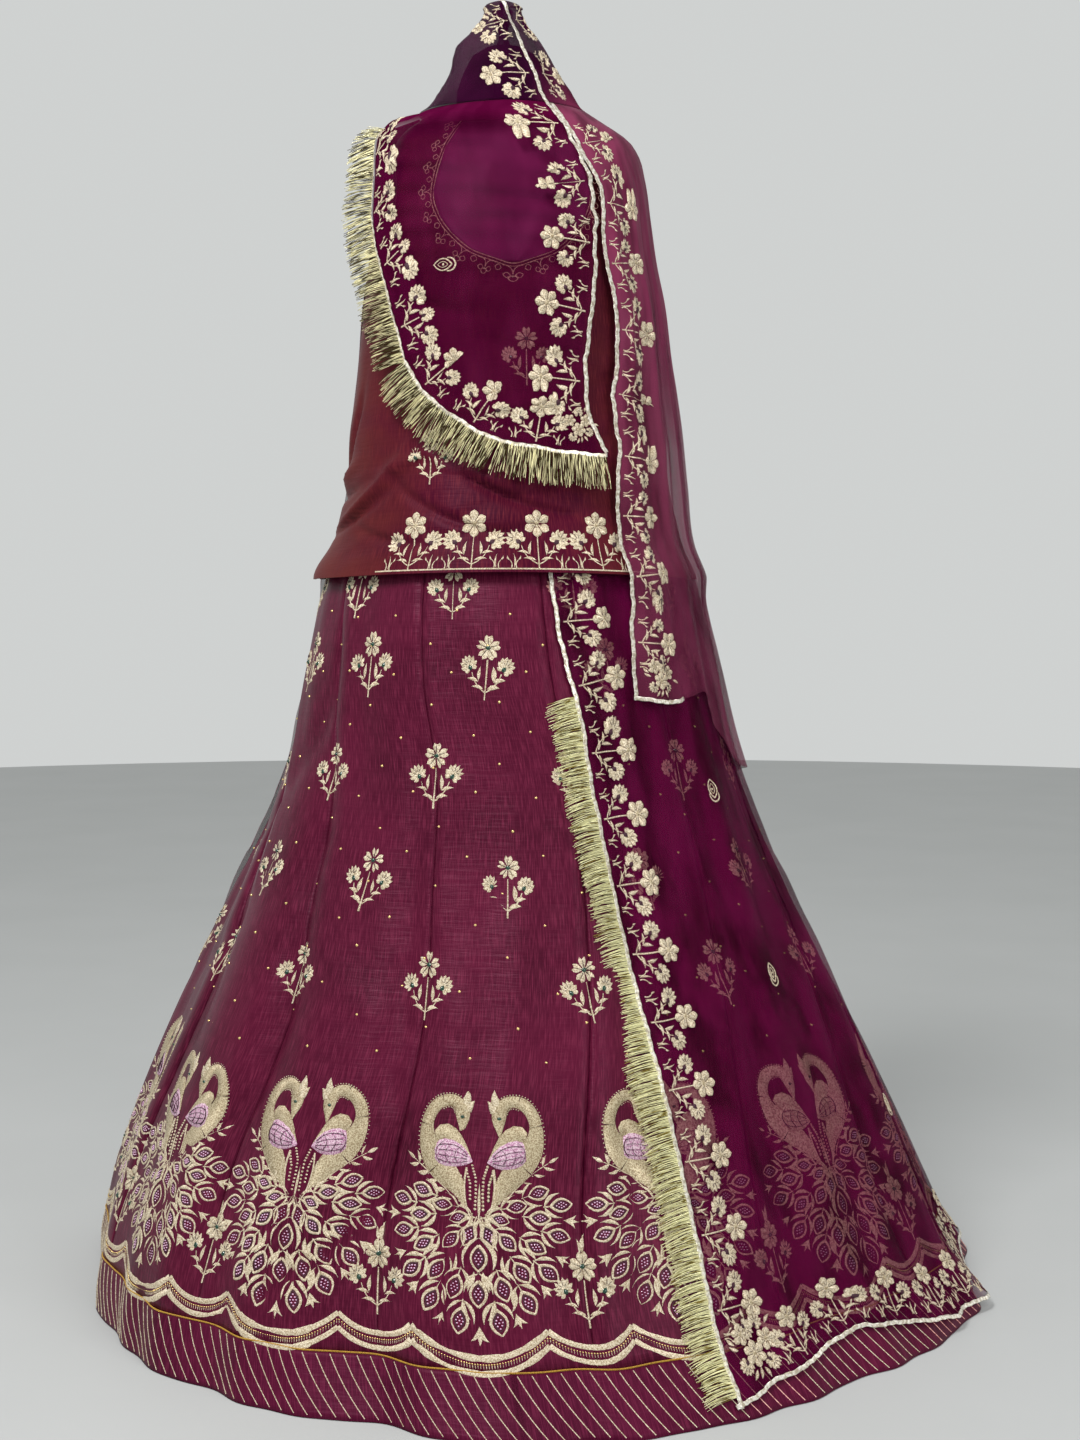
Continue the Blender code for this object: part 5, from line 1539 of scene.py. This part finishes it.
def chest_grid(rows, columns):
    """Bearings and heights over the chest stretch, blended between its four edges."""
    left, right = (np.stack(resampled(edge, rows), axis=-1)[:, None] for edge in (CHEST_LEFT, CHEST_RIGHT))
    top, bottom = (np.stack(resampled(edge, columns), axis=-1)[None] for edge in (CHEST_TOP, CHEST_BOTTOM))
    v = np.linspace(0.0, 1.0, rows)[:, None, None]
    u = np.linspace(0.0, 1.0, columns)[None, :, None]
    corners = ((1 - u) * (1 - v) * top[:, :1] + u * (1 - v) * top[:, -1:]
               + (1 - u) * v * bottom[:, :1] + u * v * bottom[:, -1:])
    grid = (1 - u) * left + u * right + (1 - v) * top + v * bottom - corners
    return grid[..., 0], grid[..., 1]


def edged_grid(rows, columns, top, start, end, foot, left_table=None):
    """Bearings and heights of a stretch between its left edge, a straight right one and a shaped foot."""
    down, across = np.meshgrid(np.linspace(0.0, 1.0, rows), np.linspace(0.0, 1.0, columns), indexing="ij")
    foot_height = straight(start + across * (end - start), foot, "bearing", "height")
    height = top + (foot_height - top) * down
    left = straight(height, left_table, "height", "bearing") if left_table else start + 0.0 * height
    return left + across * (end - left), height


def build_veil(paints):
    """The veil's five stretches, one cloth of 2.5 by 1.1 m."""
    top = VEIL_SPLIT - VEIL_GAP
    fall_places = edged_grid(111, 61, top, 35.0, FALL_END, FALL_FOOT, FALL_LEFT)
    tucked_places = edged_grid(121, 91, TUCKED_TOP, 23.4, SIDE_BEARING, TUCKED_FOOT, TUCKED_LEFT)
    back_places = edged_grid(91, 85, top, BACK_START, BACK_END, BACK_FOOT)
    stretches = dict(
        hood=(hood, hood_grid(), "hood", (0.62, 0.26), 0.075, "form_neck_cap"),
        chest=(chest, chest_grid(101, 67), "sheer", (0.42, 0.46), 0.125, "tunic_front_cloth"),
        fall=(fall, fall_places, "veil", (0.30, 0.88), 0.185, "tunic_front_cloth"),
        tucked=(tucked, tucked_places, "tucked", (0.62, 1.16), 0.50, "gore_09_cloth"),
        back=(back_veil, back_places, "veil", (1.10, 1.56), 0.80, "tunic_back_cloth"),
    )
    for key, (surface, places, paint, flat, area, rest) in stretches.items():
        piece = shell(f"veil_{key}_cloth", surface, *places, VOILE_THICK, paints[paint], "veil_voile")
        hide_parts(f"veil_{key}")


def build_chest_turning(paints):
    """Doubled strip of veil behind the border on the chest's left edge."""
    track = edge_track(chest, *resampled(CHEST_LEFT, 80), 1.0)
    along = np.linspace(0.002, track["length"][-1] - 0.004, 70)
    s, deep = np.meshgrid(along, np.linspace(0.001, 0.044, 12), indexing="ij")
    places = off_edge(track, s, deep)

    def behind(b, z, lift=0.0):
        """Point just behind the veil's chest stretch."""
        return chest(b, z, lift - 0.0016)

    piece = shell("veil_chest_turning", behind, *places, VOILE_THICK, paints["double"], "veil_voile")


def veil_tracks():
    """The veil's trimmed edges: each one's surface, and its track by length with the way into the cloth."""
    back_foot = dict(BACK_FOOT, bearing=(BACK_START, *BACK_FOOT["bearing"][1:]))
    edges = dict(
        hood=(hood, HOOD_EDGE, 60, True, -1.0),
        chest_right=(chest, CHEST_RIGHT, 80, False, -1.0),
        chest_left=(chest, CHEST_LEFT, 80, False, 1.0),
        chest_bottom=(chest, CHEST_BOTTOM, 80, False, 1.0),
        fall=(fall, FALL_LEFT, 120, True, 1.0),
        fall_foot=(fall, FALL_FOOT, 60, False, 1.0),
        tucked=(tucked, TUCKED_LEFT, 160, True, 1.0),
        tucked_foot=(tucked, TUCKED_FOOT, 120, False, 1.0),
        back_foot=(back_veil, back_foot, 160, False, 1.0),
    )
    return {key: (surface, edge_track(surface, *resampled(table, count, flip), inward))
            for key, (surface, table, count, flip, inward) in edges.items()}


def border_stations(track, before, after, pitch):
    """Even stations along an edge, clear of its two ends, about a pitch apart."""
    last = track["length"][-1] - after
    count = max(int((last - before) / pitch), 1)
    return before + (np.arange(count) + 0.5) * ((last - before) / count)


def build_veil_embroidery(paints, tracks):
    """Flower borders along the veil's edges, corner clusters and almond motifs."""
    # Whether an edge has the tall flower, the lengths left clear at its two ends, and the size into the cloth
    borders = dict(
        hood=(True, 0.012, 0.0, 0.80),
        chest_right=(True, 0.0, 0.052, 0.84),
        chest_left=(False, 0.012, 0.0, 0.90),
        chest_bottom=(True, 0.0, 0.052, 0.80),
        fall=(True, 0.030, 0.030, 0.80),
        tucked=(True, 0.150, 0.062, 0.84),
        tucked_foot=(True, 0.078, 0.020, 0.84),
        back_foot=(True, 0.004, 0.020, 0.84),
    )
    layers = dict(hood=[], chest=[], fall=[], tucked=[], back=[])
    for key, (tall, before, after, deep) in borders.items():
        surface, track = tracks[key]
        stations = border_stations(track, before, after, BORDER_PITCH)
        ground = edge_ground(track, stations, BORDER_SIZE, deep / BORDER_SIZE)
        layers[key.split("_")[0]].append(lay(moved(border_unit(tall), (0.0, BORDER_INSET)), ground, surface))
    bearing, height = resampled(HOOD_EDGE, 60, flip=True)
    track = edge_track(hood, bearing + HOOD_SLIT, height, 1.0)
    ground = edge_ground(track, border_stations(track, 0.004, 0.0, 0.0700), 0.88, 0.75)
    layers["hood"].append(lay(moved(border_unit(), (0.0, 0.0160)), ground, hood))
    motifs = (
        ("chest", corner_cluster(), chest, 23.5, 1.034, 20.0, 0.60),
        ("tucked", corner_cluster(), tucked, 28.0, 0.050, 0.0, 1.0),
        ("fall", corner_cluster(), fall, 43.0, 0.742, 0.0, 0.72),
        ("chest", almond_buti(), chest, -23.2, 1.226, 90.0, 1.0),
        ("tucked", almond_buti(), tucked, (56.0, 53.0, 70.0), (0.612, 0.405, 0.235), 0.0, 1.0),
    )
    for key, strokes, surface, bearing, height, angle, size in motifs:
        layers[key].append(lay(strokes, patch_ground(surface, bearing, height, angle, size), surface))
    for key, stack in layers.items():
        embroidery(f"veil_{key}_embroidery", stack, paints)


def ribbon(name, surface, track, before, after, paint):
    """Flat ribbon along an edge, clear of its two ends, that wanders and puckers by sines of its length."""
    last = track["length"][-1] - after
    s = np.linspace(before, last, max(int((last - before) / RIBBON_STEP), 8))[:, None]
    wander = 0.0006 * np.sin(s * 130.0) + 0.0004 * np.sin(s * 410.0)
    bearing, height = off_edge(track, s, np.linspace(0.0, RIBBON_WIDTH, 6)[None, :] - 0.0008 + wander)
    pucker = 0.0003 * np.sin(s * 900.0 + 3.0 * np.sin(s * 60.0))
    points = surface(bearing, height, VOILE_THICK / 2 + 0.0010 + pucker)
    normals = normals_of(surface, bearing, height)
    facing = np.cross(points[1:, :-1] - points[:-1, :-1], points[:-1, 1:] - points[:-1, :-1])
    if np.sum(facing * normals[:-1, :-1]) < 0.0:
        points, normals = points[:, ::-1], normals[:, ::-1]
    return skinned(name, points, normals, RIBBON_THICK, paint)


def fringe(node, surface, track, first, last, pull, sag, length, paint, seed):
    """Tinsel strands from a cloth's edge: three-sided tapering strands in uneven bunches.

    A strand's line is its start, plus its aim times the distance, less a sag that grows with the square of
    the distance, plus a slight wave.
    """
    rng = np.random.default_rng(seed)
    count = int((last - first) / STRAND_PITCH)
    s = np.linspace(first, last, count) + rng.uniform(-0.0004, 0.0004, count)
    b, z = off_edge(track, s, 0.0)
    normal = normals_of(surface, b, z)
    edge = surface(b, z, 0.0006)
    out = unit(edge - surface(*off_edge(track, s, 0.004), 0.0006))
    start = surface(*off_edge(track, s, 0.002), 0.0010)
    bunches = np.arange(first, last + 0.02, BUNCH_PITCH)
    bunch = np.interp(s, bunches, rng.uniform(-1.0, 1.0, len(bunches)))
    run = unit(np.gradient(edge, axis=0))
    lean = unit(out + np.array(pull))
    lean = unit(lean - run * np.sum(lean * run, axis=1, keepdims=True) * 0.8)
    scatter = run * (0.07 * bunch + rng.uniform(-0.08, 0.08, count))[:, None]
    aim = unit(lean + normal * (0.08 + rng.uniform(-0.07, 0.10, count))[:, None] + scatter)
    reach = (length * rng.uniform(0.84, 1.06, count) * (1.0 + 0.05 * bunch))[:, None, None]
    t = np.linspace(0.0, 1.0, STRAND_STATIONS)[None, :, None]
    drop = np.array([0.0, 0.0, -1.0]) * sag * reach * t ** 2
    wave = run[:, None, :] * (0.0006 * np.sin(6.0 * t + rng.uniform(0.0, 6.0, count)[:, None, None]))
    line = start[:, None, :] + aim[:, None, :] * reach * t + drop + wave * t
    line[..., 2] = np.maximum(line[..., 2], 0.0012)
    thick = STRAND_THICK * rng.uniform(0.7, 1.25, count)[:, None, None] * (1.0 - 0.25 * t)
    across = unit(np.cross(aim, normal))
    over = unit(np.cross(across, aim))
    corners = [line + thick * (across[:, None, :] * math.cos(turn) + over[:, None, :] * math.sin(turn))
               for turn in np.radians([90.0, 210.0, 330.0])]
    points = np.stack(corners, axis=2)
    sides = len(corners)
    quads = grid_faces(STRAND_STATIONS, sides, True)[:, [0, 3, 2, 1]]
    faces = (np.arange(count)[:, None, None] * STRAND_STATIONS * sides + quads).reshape(-1, 4)
    uv = np.stack([np.broadcast_to(part, points.shape[:3]) for part in (s[:, None, None], t * 0.04)], axis=-1)
    piece = add_mesh(f"{node}_strands", points, faces, [paint], uv)
    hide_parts(node)


def build_trim(paints, tracks):
    """Ribbons and fringes on the veil's edges."""
    # Lengths left clear at an edge's two ends
    ribbons = dict(
        hood=(0.002, 0.0),
        chest_right=(0.0, 0.006),
        chest_left=(0.008, 0.0),
        chest_bottom=(0.0, 0.004),
        fall=(0.0, 0.0),
        fall_foot=(0.0, 0.275),
        tucked=(0.145, 0.0),
        tucked_foot=(0.0, 0.0),
        back_foot=(0.0, 0.0),
    )
    for key, (before, after) in ribbons.items():
        piece = ribbon(f"gota_{key}", *tracks[key], before, after, paints["gota"])
        if key not in ("fall_foot", "tucked_foot", "back_foot"):
            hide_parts(f"ribbon_{key}")
    tucked_track = tracks["tucked"][1]
    fringe_top = np.interp(-0.726, -tucked_track["height"], tucked_track["length"])
    fringes = (
        ("chest_left", "fringe_chest_side", 0.004, 0.0, (-1.0, -0.4, -0.15), 0.10, 0.036, "tinsel", 3),
        ("chest_bottom", "fringe_chest_bottom", 0.0, 0.006, (0.0, -0.12, -0.1), 0.10, 0.042, "tinsel", 5),
        # the skirt's fringe takes the tinsel painted lighter, for the lamp light it lacks
        ("tucked", "fringe_tucked", fringe_top, 0.012, (-0.5, -0.20, 0.0), 0.14, 0.039, "tinsel_painted_light", 7),
    )
    for key, node, first, after, pull, sag, length, paint, seed in fringes:
        surface, track = tracks[key]
        last = track["length"][-1] - after
        fringe(node, surface, track, first, last, pull, sag, length, paints[paint], seed)


# The form, the camera, the lights and the floor

def dress_form(paints):
    """Finishes for the dress form's own solids."""
    finishes = dict(form_torso="velvet", form_neck_cap="velvet", form_base="metal", form_pole="metal",
                    form_finial="metal")
    for name, paint in finishes.items():
        mesh = bpy.data.objects[name].data
        mesh.materials.clear()
        mesh.materials.append(paints[paint])


def add_camera():
    """Camera at the photograph's angle."""
    data = bpy.data.cameras.new("photo_camera")
    data.sensor_fit = "VERTICAL"
    data.sensor_height = CAMERA_FILM
    data.lens = CAMERA_LENS
    data.clip_end = 60.0
    camera = bpy.data.objects.new("photo_camera", data)
    camera.location = CAMERA_PLACE
    camera.rotation_euler = (math.radians(90.0 - CAMERA_PITCH), 0.0, 0.0)
    bpy.context.scene.collection.objects.link(camera)
    bpy.context.scene.camera = camera


def add_light(name, place, aim, size, power):
    """Square area light pointed at a spot."""
    data = bpy.data.lights.new(name, "AREA")
    data.shape = "SQUARE"
    data.size = size
    data.energy = power
    lamp = bpy.data.objects.new(name, data)
    lamp.location = place
    away = np.array(place) - np.array(aim)
    flat = math.hypot(away[0], away[1])
    lamp.rotation_euler = (math.atan2(flat, away[2]), 0.0, math.atan2(away[0], -away[1]))
    bpy.context.scene.collection.objects.link(lamp)


def add_floor():
    """Round pale floor."""
    turn = np.linspace(0.0, 2.0 * math.pi, FLOOR_SIDES, endpoint=False)
    mesh = bpy.data.meshes.new("floor")
    ring = np.stack([FLOOR_RADIUS * np.cos(turn), FLOOR_RADIUS * np.sin(turn), 0.0 * turn], axis=1)
    mesh.from_pydata(ring.tolist(), [], [tuple(range(FLOOR_SIDES))])
    paint, tree, shader, place, _ = new_material("floor_pale", (0.455, 0.463, 0.460), 0.70)
    shade = ramp(tree, noise(tree, place, 3.0), (0.446, 0.455, 0.451), (0.464, 0.472, 0.469))
    give(tree, shader, {"Base Color": shade})
    mesh.materials.append(paint)
    floor = bpy.data.objects.new("floor", mesh)
    bpy.context.scene.collection.objects.link(floor)


def add_world():
    """Pale even surroundings."""
    world = bpy.data.worlds.new("studio")
    world.use_nodes = True
    back = world.node_tree.nodes["Background"]
    back.inputs["Color"].default_value = (0.625, 0.640, 0.634, 1.0)
    back.inputs["Strength"].default_value = 1.0
    bpy.context.scene.world = world
    bpy.context.scene.view_settings.view_transform = "Standard"


def main():
    """Dress the part, stage it and finish."""
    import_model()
    add_camera()
    paints = make_materials()
    dress_form(paints)
    build_skirt(paints)
    build_skirt_embroidery(paints)
    build_piping(paints)
    build_waistband(paints)
    build_tunic(paints)
    build_tunic_embroidery(paints)
    build_yoke(paints)
    build_veil(paints)
    build_chest_turning(paints)
    tracks = veil_tracks()
    build_veil_embroidery(paints, tracks)
    build_trim(paints, tracks)
    add_floor()
    add_world()
    add_light("key", (-1.1, -1.7, 3.3), (0.0, 0.0, 0.8), 1.0, 98.0)
    add_light("fill", (2.0, -2.4, 1.6), (0.0, 0.0, 0.7), 1.6, 30.0)


main()
